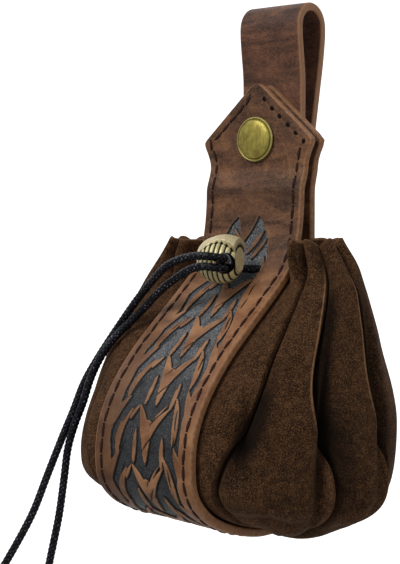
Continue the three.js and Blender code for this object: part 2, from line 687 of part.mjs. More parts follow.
// Loop rivet through the back of the strip and both ends of the loop
function makeLoopRivet() {
  const inside = NECK_BACK_Y - LEATHER - GAP;
  const outside = NECK_BACK_Y + GAP + 2 * LEATHER + 2 * GAP;
  const post = POST_WIDTH / 2;
  const profile = [
    ...domed(RIVET_INNER_DOME, RIVET_WIDTH, RIVET_INNER_HEIGHT, inside, -1), [post, inside],
    [post, outside], ...domed(RIVET_DOME, RIVET_WIDTH, RIVET_OUTER_HEIGHT, outside, 1).reverse(),
  ];
  return turnedAlongY(profile, RIVET_DROP, HOLE_SIDES);
}

// Tube along a smooth curve through the points of a route
function tubeAlong(route, width, steps) {
  const path = new THREE.CatmullRomCurve3(route.map((p) => new THREE.Vector3(...p)), false, 'centripetal');
  const section = new THREE.Shape();
  for (let i = 0; i < CORD_SIDES; i += 1) {
    const angle = 2 * Math.PI * i / CORD_SIDES;
    const corner = [width / 2 * Math.cos(angle), width / 2 * Math.sin(angle)];
    if (i === 0) {
      section.moveTo(...corner);
    } else {
      section.lineTo(...corner);
    }
  }
  return new THREE.ExtrudeGeometry(section, { steps, extrudePath: path, bevelEnabled: false });
}

// Puts a solid that was turned about the Y axis at a place, with its axis in a direction
function turnedTowards(geometry, direction, place) {
  const turn = new THREE.Quaternion().setFromUnitVectors(new THREE.Vector3(0, 1, 0), direction);
  return geometry.applyQuaternion(turn).translate(place.x, place.y, place.z);
}

// Bead: a barrel across the pouch with a hole for both cords, worn hollow where the drawstring passes
const beadPlace = new THREE.Vector3(...BEAD_PLACE);
const beadTurn = BEAD_TURN * Math.PI / 180;
const beadAxis = new THREE.Vector3(Math.cos(beadTurn), Math.sin(beadTurn), 0);
const holeAxis = new THREE.Vector3(Math.sin(beadTurn), -Math.cos(beadTurn), 0);
function makeBead(drawstringRoom) {
  const half = BEAD_PROFILE.map((row) => [row.out * BEAD_WIDTH / 2, row.along * BEAD_LENGTH / 2]);
  const mirrored = half.slice(0, -1).reverse().map(([r, y]) => [r, -y]);
  const profile = [[0, BEAD_LENGTH / 2], ...half, ...mirrored, [0, -BEAD_LENGTH / 2]];
  const barrel = turnedTowards(turnedAlongY(profile, 0, BEAD_SIDES), beadAxis, beadPlace);
  const holeWidth = 2 * CORD + 4 * GAP;
  const hole = new THREE.CylinderGeometry(holeWidth / 2, holeWidth / 2, 2 * BEAD_WIDTH, BEAD_SIDES);
  return cutFrom(barrel, [turnedTowards(hole, holeAxis, beadPlace), ...drawstringRoom]);
}

// A free cord end and the knot that closes it
function cordEnd(route, knotPlace) {
  const knot = new THREE.Vector3(...knotPlace);
  const down = knot.clone().sub(new THREE.Vector3(...route[route.length - 1])).normalize();
  const top = knot.clone().addScaledVector(down, -KNOT_LENGTH / 2 - GAP);
  const tailStart = KNOT_LENGTH / 2;
  const tailEnd = tailStart + KNOT_TAIL;
  const lump = KNOT_PROFILE.map((row) => [row.out * KNOT_WIDTH / 2, row.along * KNOT_LENGTH / 2]);
  const profile = [...lump, [CORD / 2, tailStart], [CORD / 2, tailEnd], [0, tailEnd]];
  return {
    cord: tubeAlong([...route, top.toArray()], CORD, CORD_END_STEPS),
    knot: turnedTowards(turnedAlongY(profile, 0, KNOT_SIDES), down, knot),
  };
}

const pouch = new THREE.Group();
function addPiece(name, geometry, material) {
  const mesh = new THREE.Mesh(geometry, material);
  mesh.name = name;
  pouch.add(mesh);
}

const drawstringRoom = [tubeAlong(DRAWSTRING_ROUTE, CORD + 2 * GAP, DRAWSTRING_STEPS)];
const endLeft = cordEnd(CORD_END_LEFT_ROUTE, KNOT_LEFT_PLACE);
const endRight = cordEnd(CORD_END_RIGHT_ROUTE, KNOT_RIGHT_PLACE);

addPiece('leather_strip', makeStrip(drawstringRoom), leatherLook);
addPiece('gusset_right', makeGusset(1, drawstringRoom), suedeLook);
addPiece('gusset_left', makeGusset(-1, drawstringRoom), suedeLook);
addPiece('belt_loop', makeLoop(), leatherLook);
addPiece('snap_cap', makeSnapCap(), brassLook);
addPiece('snap_stud', makeSnapStud(), brassLook);
addPiece('loop_rivet', makeLoopRivet(), brassLook);
addPiece('cord_bead', makeBead(drawstringRoom), beadLook);
addPiece('drawstring', tubeAlong(DRAWSTRING_ROUTE, CORD, DRAWSTRING_STEPS), cordLook);
addPiece('cord_end_left', endLeft.cord, cordLook);
addPiece('cord_end_right', endRight.cord, cordLook);
addPiece('knot_left', endLeft.knot, cordLook);
addPiece('knot_right', endRight.knot, cordLook);

export default pouch;
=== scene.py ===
"""Medieval belt pouch: the finish of its leather, suede, brass and waxed cord.

Shapes are worked out in millimetres in the part's own frame and written to meshes in metres.
"""

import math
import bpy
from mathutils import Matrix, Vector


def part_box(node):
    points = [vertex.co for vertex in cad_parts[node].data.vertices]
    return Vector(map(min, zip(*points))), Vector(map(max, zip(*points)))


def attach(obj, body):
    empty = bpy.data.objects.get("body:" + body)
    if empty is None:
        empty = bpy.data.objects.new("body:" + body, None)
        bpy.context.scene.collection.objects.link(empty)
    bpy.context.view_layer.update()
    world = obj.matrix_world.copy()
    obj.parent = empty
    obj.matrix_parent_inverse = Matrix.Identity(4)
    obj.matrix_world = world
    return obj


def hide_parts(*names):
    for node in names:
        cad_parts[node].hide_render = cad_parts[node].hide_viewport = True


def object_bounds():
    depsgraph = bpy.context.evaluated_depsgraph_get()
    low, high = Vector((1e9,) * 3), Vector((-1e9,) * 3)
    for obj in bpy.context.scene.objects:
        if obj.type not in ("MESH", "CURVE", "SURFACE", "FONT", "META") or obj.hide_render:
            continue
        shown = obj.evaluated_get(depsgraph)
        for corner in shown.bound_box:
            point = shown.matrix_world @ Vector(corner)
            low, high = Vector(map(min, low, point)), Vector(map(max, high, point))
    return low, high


bl_info = {
    "name": "Medieval Belt Pouch",
    "version": (1, 0, 0),
    "blender": (4, 5, 0),
    "location": "View3D > Sidebar > Belt Pouch",
    "description": "Builds a tooled leather belt pouch with suede sides, a snap and a beaded drawstring",
    "category": "Add Mesh",
}

import bpy
import numpy as np
from mathutils import Matrix, Vector

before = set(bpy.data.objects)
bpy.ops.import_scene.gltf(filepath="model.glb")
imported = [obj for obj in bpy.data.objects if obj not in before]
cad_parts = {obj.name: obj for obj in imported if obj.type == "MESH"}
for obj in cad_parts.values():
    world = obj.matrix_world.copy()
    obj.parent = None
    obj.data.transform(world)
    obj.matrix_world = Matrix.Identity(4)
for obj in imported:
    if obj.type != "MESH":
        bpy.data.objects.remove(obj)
CAD_BOX = [list(corner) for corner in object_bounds()]

MM = 0.001
PHOTO_SIZE = (400, 564)

# Sizes that the solids were built from, in millimetres
LEATHER = 2.8
SUEDE = 1.8
GAP = 0.3
SEAM = 6
CORD = 2.8
STRIP_WIDTH = 40
HEAD_WIDTH = 45.4
HEAD_TIP_DROP = 25
HEAD_HEIGHT = 27
NECK_DROP = 61
MOUTH_DROP = 77.5
BODY_HEIGHT = 92.3
HEAD_SPACE = 2.6
NECK_SPACE = 3.1
BELLY_FRONT = 55
BELLY_BACK = 19.3
SIDE_REACH = 34.8
BOTTOM_LEAN = 1.2
LEAN_START = 0.68
GATHER_DEPTH = 4.2
FOLD_DEPTH = 11
LOOP_WIDTH = 25
LOOP_SPACE = 10.4
LOOP_SETBACK = 1.8
LOOP_JOIN_DROP = 66
LOOP_END_DROP = 74
SNAP_DROP = 43.3
RIVET_DROP = 70
BEAD_WIDTH = 16.2
BEAD_TURN = 44
BEAD_PLACE = (1.5, -34.2, -84)
KNOT_LENGTH = 8.4
KNOT_TAIL = 5

HEAD_BACK_Y = -LOOP_SPACE / 2 - LEATHER + LOOP_SETBACK - GAP
HEAD_FRONT_Y = HEAD_BACK_Y - 2 * LEATHER - HEAD_SPACE
NECK_BACK_Y = HEAD_BACK_Y - LOOP_SETBACK
NECK_FRONT_Y = NECK_BACK_Y - 2 * LEATHER - NECK_SPACE
WAIST_DROP = HEAD_TIP_DROP + HEAD_HEIGHT

# Head outline: a share of the head's height down, and of half its width out
HEAD_OUTLINE = {
    "down": (0, 0.03, 0.62, 0.68, 0.71, 0.76, 0.86, 0.94, 1),
    "out": (0.05, 0.12, 0.91, 0.985, 1, 0.983, 0.926, 0.893, 0.881),
}

# Sections of the body from the mouth down, as shares of the sizes above; wrap is in degrees
BODY = {
    "drop": (0, 0.081, 0.168, 0.276, 0.385, 0.504, 0.612, 0.72, 0.818, 0.894, 0.945, 0.978, 0.996, 1),
    "front": (0.036, 0.1, 0.26, 0.491, 0.709, 0.882, 0.973, 1, 0.973, 0.864, 0.709, 0.536, 0.382,
              0.255),
    "back": (0, 0.088, 0.233, 0.456, 0.689, 0.907, 1, 0.979, 0.839, 0.534, 0.171, -0.269, -0.762,
             -1.172),
    "side": (0.37, 0.56, 0.7, 0.805, 0.88, 0.95, 0.995, 1, 0.957, 0.862, 0.71, 0.503, 0.26, 0),
    "middle": (0.44, 0.44, 0.5, 0.575, 0.618, 0.64, 0.642, 0.625, 0.608, 0.567, 0.525, 0.47, 0.47, 0.5),
    "wrap": (72, 60, 34, 15, 4, 0, 0, 0, 0, 0, 0, 0, 0, 0),
    "left": (1.3, 1.12, 1.04, 0.98, 0.93, 0.9, 0.9, 0.91, 0.92, 0.94, 0.96, 1, 1, 1),
}

# Valleys between a gusset's folds: shares of the way round at three heights, and shares of the depths
VALLEYS = {
    "mouth": (0, 0.15, 0.305, 0.46, 0.64, 0.83, 1),
    "belly": (0, 0.14, 0.305, 0.505, 0.69, 0.85, 1),
    "low": (0, 0.035, 0.415, 0.59, 0.73, 0.87, 1),
    "gather": (0.1, 1, 1, 1, 1, 1, 0.1),
    "deep": (0.04, 0.42, 1, 0.82, 0.72, 0.55, 0.04),
    "lowDeep": (0.04, 0.1, 0.36, 0.3, 0.24, 0.18, 0.04),
}
FOLD_STOPS = (0, 0.1, 0.5, 0.85, 1)
PLACE_STOPS = (0, 0.32, 0.64, 1)
RIM_SHARE = 0.72
FOLD_ROUNDNESS = 0.75

# Back strap of the loop: shares of its run down and inwards
BACK_STRAP = {
    "down": (0, 0.06, 0.2, 0.35, 0.55, 0.78, 1),
    "into": (0, 0.01, 0.12, 0.29, 0.52, 0.8, 1),
}

# Cord routes, in millimetres, as in the solids
DRAWSTRING_Z = -86.3
DRAWSTRING_ROUND = (
    (7.4, -22.8), (9.6, -19.4), (12.6, -16.8), (16.5, -15.6), (20.5, -16.4), (25, -18.9), (30, -19.8),
    (34.6, -17.8), (36.4, -13.8), (34.6, -9.6), (30, -7.6), (25, -8.6), (20, -11.2), (14, -12.6),
    (7, -12.8), (0, -12.9), (-7, -12.8), (-14, -12.6), (-20, -11.2), (-25.4, -8.6), (-31, -7.6),
    (-36.4, -9.6), (-38.4, -13.8), (-36.4, -17.8), (-31, -19.8), (-25.4, -18.9), (-20.5, -16.4),
)
DRAWSTRING_ROUTE = [
    (0.8, -33.5, -85.55), (-1.2, -31.4, -85.6), (-2.6, -29.2, -85.7), (-1.8, -27, -85.8),
    (1.2, -25.8, -86), (4.6, -25, -86.2), *((x, y, DRAWSTRING_Z) for x, y in DRAWSTRING_ROUND),
    (-16.5, -15.6, -86.2), (-12.6, -16.8, -86), (-10, -19.6, -85.6), (-8.4, -22.8, -84.9),
    (-6.6, -25.8, -84), (-4.2, -28.6, -83), (-2, -30.8, -82.5), (0.8, -33.5, -82.45),
]
CORD_END_LEFT_ROUTE = [
    (1.1, -33.8, -82.45), (3.2, -36, -82.4), (5, -37.8, -82.45), (6.8, -40.2, -82.4), (7, -42.3, -82.2),
    (6.4, -44.1, -81.9), (5, -45.6, -81.6), (3.2, -46.5, -81.5), (1.2, -46.9, -81.6), (-5.3, -47.1, -82.7),
    (-11.6, -46.9, -85.1), (-18.7, -46, -90.2), (-26, -45.1, -96.4), (-32.8, -45, -103.7),
    (-38.2, -46.4, -111.2), (-42, -48.5, -117.9), (-45.5, -50.8, -125.4), (-47.9, -53.4, -134.5),
    (-50.6, -56.3, -144), (-54, -59.9, -156.5), (-57.3, -63.5, -169), (-60.8, -67, -178.5),
    (-63.8, -70, -185.9),
]
KNOT_LEFT_PLACE = (-66.3, -72.5, -192.1)
CORD_END_RIGHT_ROUTE = [
    (1.1, -33.8, -85.55), (3.2, -36, -85.55), (5, -37.8, -85.55), (6.8, -40.2, -85.5), (6.9, -42.1, -85.4),
    (6.2, -43.8, -85.2), (4.8, -45.1, -85), (3, -45.7, -84.8), (-2.8, -45.5, -86), (-9, -45.4, -89.1),
    (-15.8, -45.2, -93.3), (-22.8, -45.2, -99.1), (-28.9, -46.2, -104.5), (-33.6, -48.7, -109.9),
    (-37.1, -51.3, -116), (-40.5, -52.6, -123.2), (-43, -53.9, -131.7), (-45.5, -55.4, -139.2),
    (-47.4, -56.6, -147), (-48.2, -57.7, -157.1), (-49.1, -59.3, -169.6), (-50.4, -61, -180),
    (-51.1, -61.9, -185.4),
]
KNOT_RIGHT_PLACE = (-51.9, -63, -192.4)

# Camera of the photograph: its place in metres, the direction back from its view and its focal length
# in pixels
CAMERA_PLACE = (0.28791, -0.38701, -0.06857)
CAMERA_BACK = (0.64205, -0.76517, 0.04780)
FOCAL_PIXELS = 1400
SENSOR = 36

# Studio, in metres: its floor and wall, even light from all round, and area lights by place, size and
# power in watts
SHEET_SIZE = 4
WALL_RISE = 1.9
WALL_DISTANCE = 1.5
WORLD_LIGHT = 0.22
LIGHT_TARGET = (0, -0.02, -0.09)
STUDIO_LIGHTS = (
    ("key", (-0.12, -0.7, 0.55), 0.34, 4.8),
    ("fill", (0.8, -0.5, 0.2), 0.5, 0.9),
    ("rim", (0.5, 0.5, 0.4), 0.5, 0.7),
)


def tone(red, green, blue):
    """Linear colour of an 8-bit one."""
    def linear(value):
        share = value / 255
        return share / 12.92 if share <= 0.04045 else ((share + 0.055) / 1.055) ** 2.4
    return (linear(red), linear(green), linear(blue), 1.0)


def opaque(colour):
    return (*colour, 1)


def smooth(low, high, value):
    """0 below low, 1 above high and a soft step between them."""
    share = np.clip((np.asarray(value, float) - low) / (high - low), 0, 1)
    return share * share * (3 - 2 * share)


def blend(a, b, share):
    return a + (b - a) * share


def along(column, share):
    """Smooth curve through a table's column at shares from 0 to 1."""
    values = np.asarray(column, float)
    last = len(values) - 1
    place = np.clip(np.asarray(share, float), 0, 1) * last
    i = np.minimum(np.floor(place).astype(int), last - 1)
    u = place - i
    padded = np.concatenate([[2 * values[0] - values[1]], values, [2 * values[-1] - values[-2]]])
    p0, p1, p2, p3 = (padded[i + k] for k in range(4))
    cubic = (3 * p1 - p0 - 3 * p2 + p3) * u ** 3
    return 0.5 * (2 * p1 + (p2 - p0) * u + (2 * p0 - 5 * p1 + 4 * p2 - p3) * u * u + cubic)


def ripple(x, y, seed):
    """Soft uneven waves, about -1 to 1, the same on every run."""
    total = 0
    for k in range(5):
        turn = seed * 1.7 + k * 2.4
        wave = (x * math.cos(turn) + y * math.sin(turn)) * (1 + 0.37 * k)
        total = total + np.sin(wave + seed * 3.1 + k) / (1 + 0.5 * k)
    return total / 2.4


# The strip's way and the body's sections
def body_z(t):
    return -MOUTH_DROP - BODY_HEIGHT * along(BODY["drop"], t)


def front_y(t):
    return NECK_FRONT_Y - BELLY_FRONT * along(BODY["front"], t)


def back_y(t):
    return NECK_BACK_Y + BELLY_BACK * along(BODY["back"], t)


def settled(points):
    """The bottom hangs a little lower on the right than on the left."""
    lean_from = -MOUTH_DROP - LEAN_START * BODY_HEIGHT
    lean_span = (1 - LEAN_START) * BODY_HEIGHT
    low = smooth(0, 1, (lean_from - points[..., 2]) / lean_span)
    points[..., 2] -= BOTTOM_LEAN * points[..., 0] / (STRIP_WIDTH / 2) * low
    return points


def way_normals(way):
    """Outward normals of a way in the YZ plane that goes down in front and up behind."""
    step = np.gradient(way, axis=0)
    normal = np.stack([step[:, 1], -step[:, 0]], 1)
    return normal / np.linalg.norm(normal, axis=1, keepdims=True)


def way_lengths(way):
    return np.concatenate([[0], np.cumsum(np.linalg.norm(np.diff(way, axis=0), axis=1))])


def full_width(y, z):
    """Rows of the strip where it has its full width: y, z and half width."""
    return np.stack([y, z, np.full_like(z, STRIP_WIDTH / 2)], 1)


def head_way(head_y, neck_y, mouth_y):
    """One end of the strip, from the tip to the mouth: y, z and half width."""
    down = np.linspace(0, 1, 90)
    half = np.interp(down, HEAD_OUTLINE["down"], HEAD_OUTLINE["out"]) * HEAD_WIDTH / 2
    head = np.stack([np.full_like(down, head_y), -HEAD_TIP_DROP - HEAD_HEIGHT * down, half], 1)
    share = np.linspace(0, 1, 24)[1:]
    bend = full_width(blend(head_y, neck_y, smooth(0, 1, share)), -blend(WAIST_DROP, NECK_DROP, share))
    share = np.linspace(0, 1, 30)[1:-1]
    neck = full_width(blend(neck_y, mouth_y, share ** 2), -blend(NECK_DROP, MOUTH_DROP, share))
    return np.concatenate([head, bend, neck])


def strip_way():
    """The whole strip, front tip to back tip: y, z and half width."""
    t = np.linspace(0, 1, 240)
    front = full_width(front_y(t), body_z(t))
    back = full_width(back_y(t), body_z(t))[:-1]
    front_end = head_way(HEAD_FRONT_Y, NECK_FRONT_Y, front_y(0.0))
    back_end = head_way(HEAD_BACK_Y, NECK_BACK_Y, back_y(0.0))
    return np.concatenate([front_end, front, back[::-1], back_end[::-1]])


def resampled(way, lengths, wanted):
    return np.stack([np.interp(wanted, lengths, way[:, k]) for k in range(way.shape[1])], 1)


# Meshes
def ring_quads(rows, across, closed):
    """Faces between rows of points."""
    i = np.arange(rows - 1)[:, None]
    j = np.arange(across if closed else across - 1)[None, :]
    a = i * across + j
    b = i * across + (j + 1) % across
    return np.stack([a, b, b + across, a + across], -1).reshape(-1, 4)


def capped_faces(rows, across):
    """Faces of a closed tube of points, with a face over each end."""
    last = (rows - 1) * across
    caps = [list(range(across))[::-1], list(range(last, last + across))]
    return ring_quads(rows, across, True).tolist() + caps


def piece_from(name, points, faces, material, slot, attributes=None):
    """A smooth mesh object from points in millimetres, with float attributes on its points."""
    mesh = bpy.data.meshes.new(name)
    places = (np.asarray(points, float).reshape(-1, 3) * MM).tolist()
    mesh.from_pydata(places, [], faces)
    for key, values in (attributes or {}).items():
        layer = mesh.attributes.new(key, "FLOAT", "POINT")
        layer.data.foreach_set("value", np.asarray(values, np.float32).ravel())
    mesh.materials.append(material)
    piece = bpy.data.objects.new(name, mesh)
    bpy.context.scene.collection.objects.link(piece)
    piece["slot"] = slot
    alone(piece)
    bpy.ops.object.mode_set(mode="EDIT")
    bpy.ops.mesh.select_all(action="SELECT")
    bpy.ops.mesh.normals_make_consistent(inside=False)
    bpy.ops.object.mode_set(mode="OBJECT")
    bpy.ops.object.shade_smooth()
    return piece


def alone(piece):
    """Selects one object only and makes it active."""
    bpy.ops.object.select_all(action="DESELECT")
    piece.select_set(True)
    bpy.context.view_layer.objects.active = piece


def worn(piece, slot, *nodes):
    """The piece rides on the pouch and stands for its nodes; its slot is not used."""
    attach(piece, "root")
    if nodes:
        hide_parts(*nodes)
    return piece


# Leather band: a closed section with rounded corners along a way
CORNER = 0.75
CORNER_TURNS = (67.5, 45, 22.5, 0)
INNER_COLUMNS = 9


def band(way, half, columns, lift):
    """Points of a band (stations, across, 3) and how much each lies on the cut edge."""
    count = columns.shape[1]
    outer = [columns[:, k] for k in range(count)]
    depth = [lift[:, k] for k in range(count)]
    edge = [0.0] * count
    corner = []
    for turn in CORNER_TURNS:
        a = math.radians(turn)
        on_edge = 1 if turn < 50 else 0.5
        corner.append((CORNER - CORNER * math.cos(a), CORNER - CORNER * math.sin(a), on_edge))
    corner += [(inwards, LEATHER - down, on_edge) for inwards, down, on_edge in reversed(corner)]
    spots = [(half - inwards, -down, on_edge) for inwards, down, on_edge in corner]
    spots += [(share * (half - CORNER), -LEATHER, 0.0) for share in np.linspace(1, -1, INNER_COLUMNS)]
    spots += [(inwards - half, -down, on_edge) for inwards, down, on_edge in reversed(corner)]
    for place, down, on_edge in spots:
        outer.append(place)
        depth.append(np.full_like(half, down))
        edge.append(on_edge)
    x, d = np.stack(outer, 1), np.stack(depth, 1)
    normal = way_normals(way)
    y = way[:, :1] + normal[:, :1] * d
    z = way[:, 1:2] + normal[:, 1:2] * d
    return np.stack([x, y, z], -1), np.tile(edge, (len(half), 1))


# The strip's carving: raised pointed blades on a sunk dark ground
CARVING_TOP_DROP = 67
FIELD_LEFT = -13
FIELD_RIGHT = 14.4
FIELD_START = 14
CARVING_DEPTH = 0.6
CARVING_PITCH = 18.6
SHADE_SHIFT = 0.3
# The two horns at the carving's top: distances down from its top, and their left and right sides
HORNS = (
    ((1.9, 4.6, 8.1, 12, 17), (-5.2, -8.1, -10, -11, -11.4), (-5.2, -4.4, -3.8, -2.6, -2)),
    ((1.6, 3.9, 7.4, 9.6, 12, 17, 22), (3.2, 2.2, 0.2, -1.5, -3, -4, -4),
     (3.2, 5.1, 7.1, 7.9, 8.2, 8.8, 9)),
)
# How the strip's mesh is divided: rows before and after the carving, the step between rows on it and
# how far past it that step is kept, columns across it, and places beside each stitch groove
ROWS_BEFORE = 69
ROWS_AFTER = 79
CARVED_STEP = 0.33
CARVED_MARGIN = 1.5
CARVING_PAST_LOWEST = 9
CARVED_COLUMNS = 102
GROOVE_PLACES = (1.3, 0.75, 0.35, 0, -0.35, -0.75, -1.3)
STITCH_INSET = 3
GROOVE_DEPTH = 0.16
BLADE_STEPS = 20
# Distance that stands for nowhere near a blade or a cut
FAR = 9.0


def blade_distance(x, s, start, heading, length, curve, width, rooted):
    """Distance of points from a blade's side in millimetres, below 0 inside it."""
    t = np.linspace(0, 1, BLADE_STEPS)
    turn = math.radians(heading) + math.radians(curve) * t
    step = length / (BLADE_STEPS - 1)
    cx = start[0] + np.concatenate([[0], np.cumsum(np.sin(turn[:-1]))]) * step
    cs = start[1] - np.concatenate([[0], np.cumsum(np.cos(turn[:-1]))]) * step
    wide = (1 - t ** 1.6) ** 0.85 if rooted else np.sin(np.pi * t ** 0.85) ** 0.6
    wide = width * wide
    near = np.full(x.shape, FAR)
    reach = width + 2
    box = (x > cx.min() - reach) & (x < cx.max() + reach)
    box &= (s > cs.min() - reach) & (s < cs.max() + reach)
    if box.any():
        px, ps = x[box][:, None], s[box][:, None]
        near[box] = (np.hypot(px - cx, ps - cs) - wide).min(1)
    return near


def carving_blades(top, end):
    """Raised blades of the field: start, heading, length, curve, width, rooted."""
    rng = np.random.default_rng(23)
    blades = [
        ((0, top + 15), 34, 10.4, 3, 0.72, False),
        ((2.5, top + 16.6), 33, 9, 3, 0.66, False),
        ((9.2, top + 22), -14, 7, 4, 0.5, False),
        ((-3.4, top + 10.8), -34, 6.6, 0, 0.8, True),
    ]
    s = top + 33
    while s < end + CARVING_PITCH:
        j = rng.uniform(-1, 1, 16)
        cx = 1.2 + 0.7 * j[0]
        blades += [
            ((cx, s + 2), -20 + 3 * j[1], 11.5, -12 + 4 * j[2], 1.75, True),
            ((cx + 0.4, s + 3), 24 + 3 * j[3], 13.5, 20 + 4 * j[4], 1.4, True),
            ((cx, s - 1.2), 176 + 3 * j[5], 12.5, 7 * j[6], 1.95, True),
            ((cx + 1.4, s - 1.6), 30 + 4 * j[7], 8.5, 16, 0.36, False),
            ((cx - 4.2, s + 11), 4 + 3 * j[8], 11.5, -10, 0.7, False),
            ((-10.2 + 0.5 * j[9], s + 9), -5, 16.5, 42 + 4 * j[10], 1.15, False),
            ((12 + 0.5 * j[11], s + 4.5), 4, 16.5, -34 + 4 * j[12], 1.1, False),
            ((7.8, s + 11.5 + j[13]), 2 + 5 * j[14], 10, -8, 0.75, False),
            ((FIELD_LEFT - 1.2, s - 2.4 + j[15]), 24, 10.5, 10, 1.5, True),
            ((FIELD_RIGHT + 1.2, s - 5.5 - j[13]), -18, 10, -10, 1.4, True),
            ((-7, s - 2.8 + j[8]), 22, 6, 12, 0.55, False),
        ]
        s += CARVING_PITCH
    return blades


def carving_field(x, s, top, end):
    """Distance in millimetres into the sunk ground, below 0 on raised leather."""
    run = s - top
    left = FIELD_LEFT + 4 * (1 - smooth(22, 34, run)) - 0.4 * np.sin(s / 5.1) - 0.3 * np.sin(s / 2.3)
    right = FIELD_RIGHT - 5.6 * (1 - smooth(32, 56, run)) + 0.4 * np.sin(s / 4.3 + 1)
    shoulder = top + FIELD_START + 1.3 * np.maximum(-x - 4, 0)
    field = np.minimum(np.minimum(x - left, right - x), s - shoulder)
    field = np.minimum(field, end - s - 0.02 * (x - 1) ** 2)
    for drop, near, far in HORNS:
        horn = np.minimum(x - np.interp(run, drop, near), np.interp(run, drop, far) - x) * 0.8
        horn = np.minimum(horn, np.minimum(run - drop[0], drop[-1] - run))
        field = np.maximum(field, horn)
    for blade in carving_blades(top, end):
        field = np.minimum(field, blade_distance(x, s, *blade))
    return field


def carving_lines(top, end):
    """Thin cuts beside the blades, in the same form as the blades."""
    rng = np.random.default_rng(5)
    lines = [((1.3, top + 16), 34, 10.4, 3, 0.2, False)]
    s = top + 31
    while s < end:
        for x, heading in ((FIELD_LEFT + 3.4, 20), (0.8, 28), (FIELD_RIGHT - 2.6, -14)):
            j = rng.uniform(-1, 1, 4)
            start = (x + 0.8 * j[0], s + 2 * j[1])
            lines.append((start, heading + 7 * j[2], 6.5 + 1.5 * j[3], 12, 0.18, False))
        s += CARVING_PITCH / 2
    return lines


def carved(x, s, top, end):
    """Depth of the carving, and distances into the ground, into its unshaded part and to the cuts."""
    inside = carving_field(x, s, top, end)
    shaded = carving_field(x - SHADE_SHIFT, s - SHADE_SHIFT, top, end)
    cuts = np.full(x.shape, FAR)
    for line in carving_lines(top, end):
        cuts = np.minimum(cuts, blade_distance(x, s, *line))
    on_field = smooth(-2, 0, s - top - 8) * smooth(-2, 0, end - s)
    cuts = cuts + FAR * (1 - on_field)
    cut = 1 - smooth(0.02, 0.3, cuts)
    ground = smooth(-0.1, 0.2, inside)
    foot = ground * (1 - smooth(0.3, 0.6, inside))
    grain = 0.05 * ripple(x * 2.6, s * 2.6, 3) + 0.04 * ripple(x * 5.2, s * 5.2, 8)
    depth = CARVING_DEPTH * ground + 0.15 * foot + 0.3 * cut * (1 - ground) + grain * ground
    return -depth, inside.clip(-1, 1), shaded.clip(-1, 1), cuts.clip(0, 1)


def strip_columns(half, stations):
    """Places across the strip, closer together where the stitch grooves and the carving are."""
    small = np.minimum(1, half / 9)
    slope = np.minimum(np.abs(np.gradient(half, stations)), 1.2)
    slope = np.convolve(np.pad(slope, 2, mode="edge"), np.ones(5) / 5, "valid")
    inset = np.minimum(STITCH_INSET * np.sqrt(1 + slope ** 2), 0.55 * half)
    groove = half - inset
    left = [-(half - CORNER)] + [-(groove + place * small) for place in GROOVE_PLACES]
    right = [groove + place * small for place in reversed(GROOVE_PLACES)] + [half - CORNER]
    inner = groove - GROOVE_PLACES[0] * small - 0.25
    middle = [share * inner for share in np.linspace(-1, 1, CARVED_COLUMNS)]
    return np.stack(left + middle + right, 1), groove


def strip_stations(lengths, way):
    """Distances along the strip of its stations, and where the carving starts and ends."""
    drop = -way[:, 1]
    count = len(way) // 2
    top = float(np.interp(CARVING_TOP_DROP, drop[:count], lengths[:count]))
    low = int(np.argmin(way[:, 1]))
    end = float(lengths[low]) + CARVING_PAST_LOWEST
    fine_from, fine_to = top - CARVED_MARGIN, end + CARVED_MARGIN
    before = np.linspace(0, fine_from, ROWS_BEFORE + 1)[:-1]
    after = np.linspace(fine_to, lengths[-1], ROWS_AFTER + 1)[1:]
    return np.concatenate([before, np.arange(fine_from, fine_to, CARVED_STEP), after]), top, end


def strip_tones(x, s, top, end):
    """How much the leather is lighter, its ground darker in painted shade towards the bottom, and the
    leather in painted shade.
    """
    low = smooth(top + 58, top + 84, s)
    return {
        "tan": smooth(top + 8, top + 45, s) * (1 - smooth(end - 16, end + 4, s)),
        "low": low,
        "dim": 0.16 * low + 0.5 * smooth(4, 15, -x) * smooth(top + 30, top + 60, s),
    }


def build_strip(material):
    source = strip_way()
    lengths = way_lengths(source[:, :2])
    stations, top, end = strip_stations(lengths, source)
    rows = resampled(source, lengths, stations)
    way, half = rows[:, :2], rows[:, 2]
    columns, groove = strip_columns(half, stations)
    s = np.repeat(stations[:, None], columns.shape[1], 1)
    lift, inside, shaded, cuts = carved(columns, s, top, end)
    off = np.abs(np.abs(columns) - groove[:, None])
    line = (1 - smooth(0.1, 0.85, off)) * smooth(5, 8, half)[:, None]
    lift = lift - GROOVE_DEPTH * line + 0.06 * ripple(columns / 5, s / 6, 2)
    points, edge = band(way, half, columns, lift)
    attributes = {"edge": edge}
    spare = ((0, 0), (0, points.shape[1] - columns.shape[1]))
    for key, values in strip_tones(columns, s, top, end).items():
        attributes[key] = np.pad(values, spare, mode="edge")
    outer_only = {"inside": (inside, -1), "shaded": (shaded, -1), "cuts": (cuts, 1), "groove": (line, 0)}
    for key, (values, elsewhere) in outer_only.items():
        attributes[key] = np.pad(values, spare, constant_values=elsewhere)
    return piece_from("leather_strip_skin", settled(points), capped_faces(*points.shape[:2]), material,
                      "tooled_leather", attributes)


# Stitches along the strip
STITCH_PITCH = 5
HEAD_STITCH_PITCH = 4.4
STITCH_SHARE = 0.7
THREAD = 1.15
HOLE = 0.8
BARE_HOLE = 1.7
BARE_HOLES = 6
# The first stitch lies where the head's half width is this, and places are read at this step
SEAM_HALF_WIDTH = 7.5
SEAM_STEP = 0.25


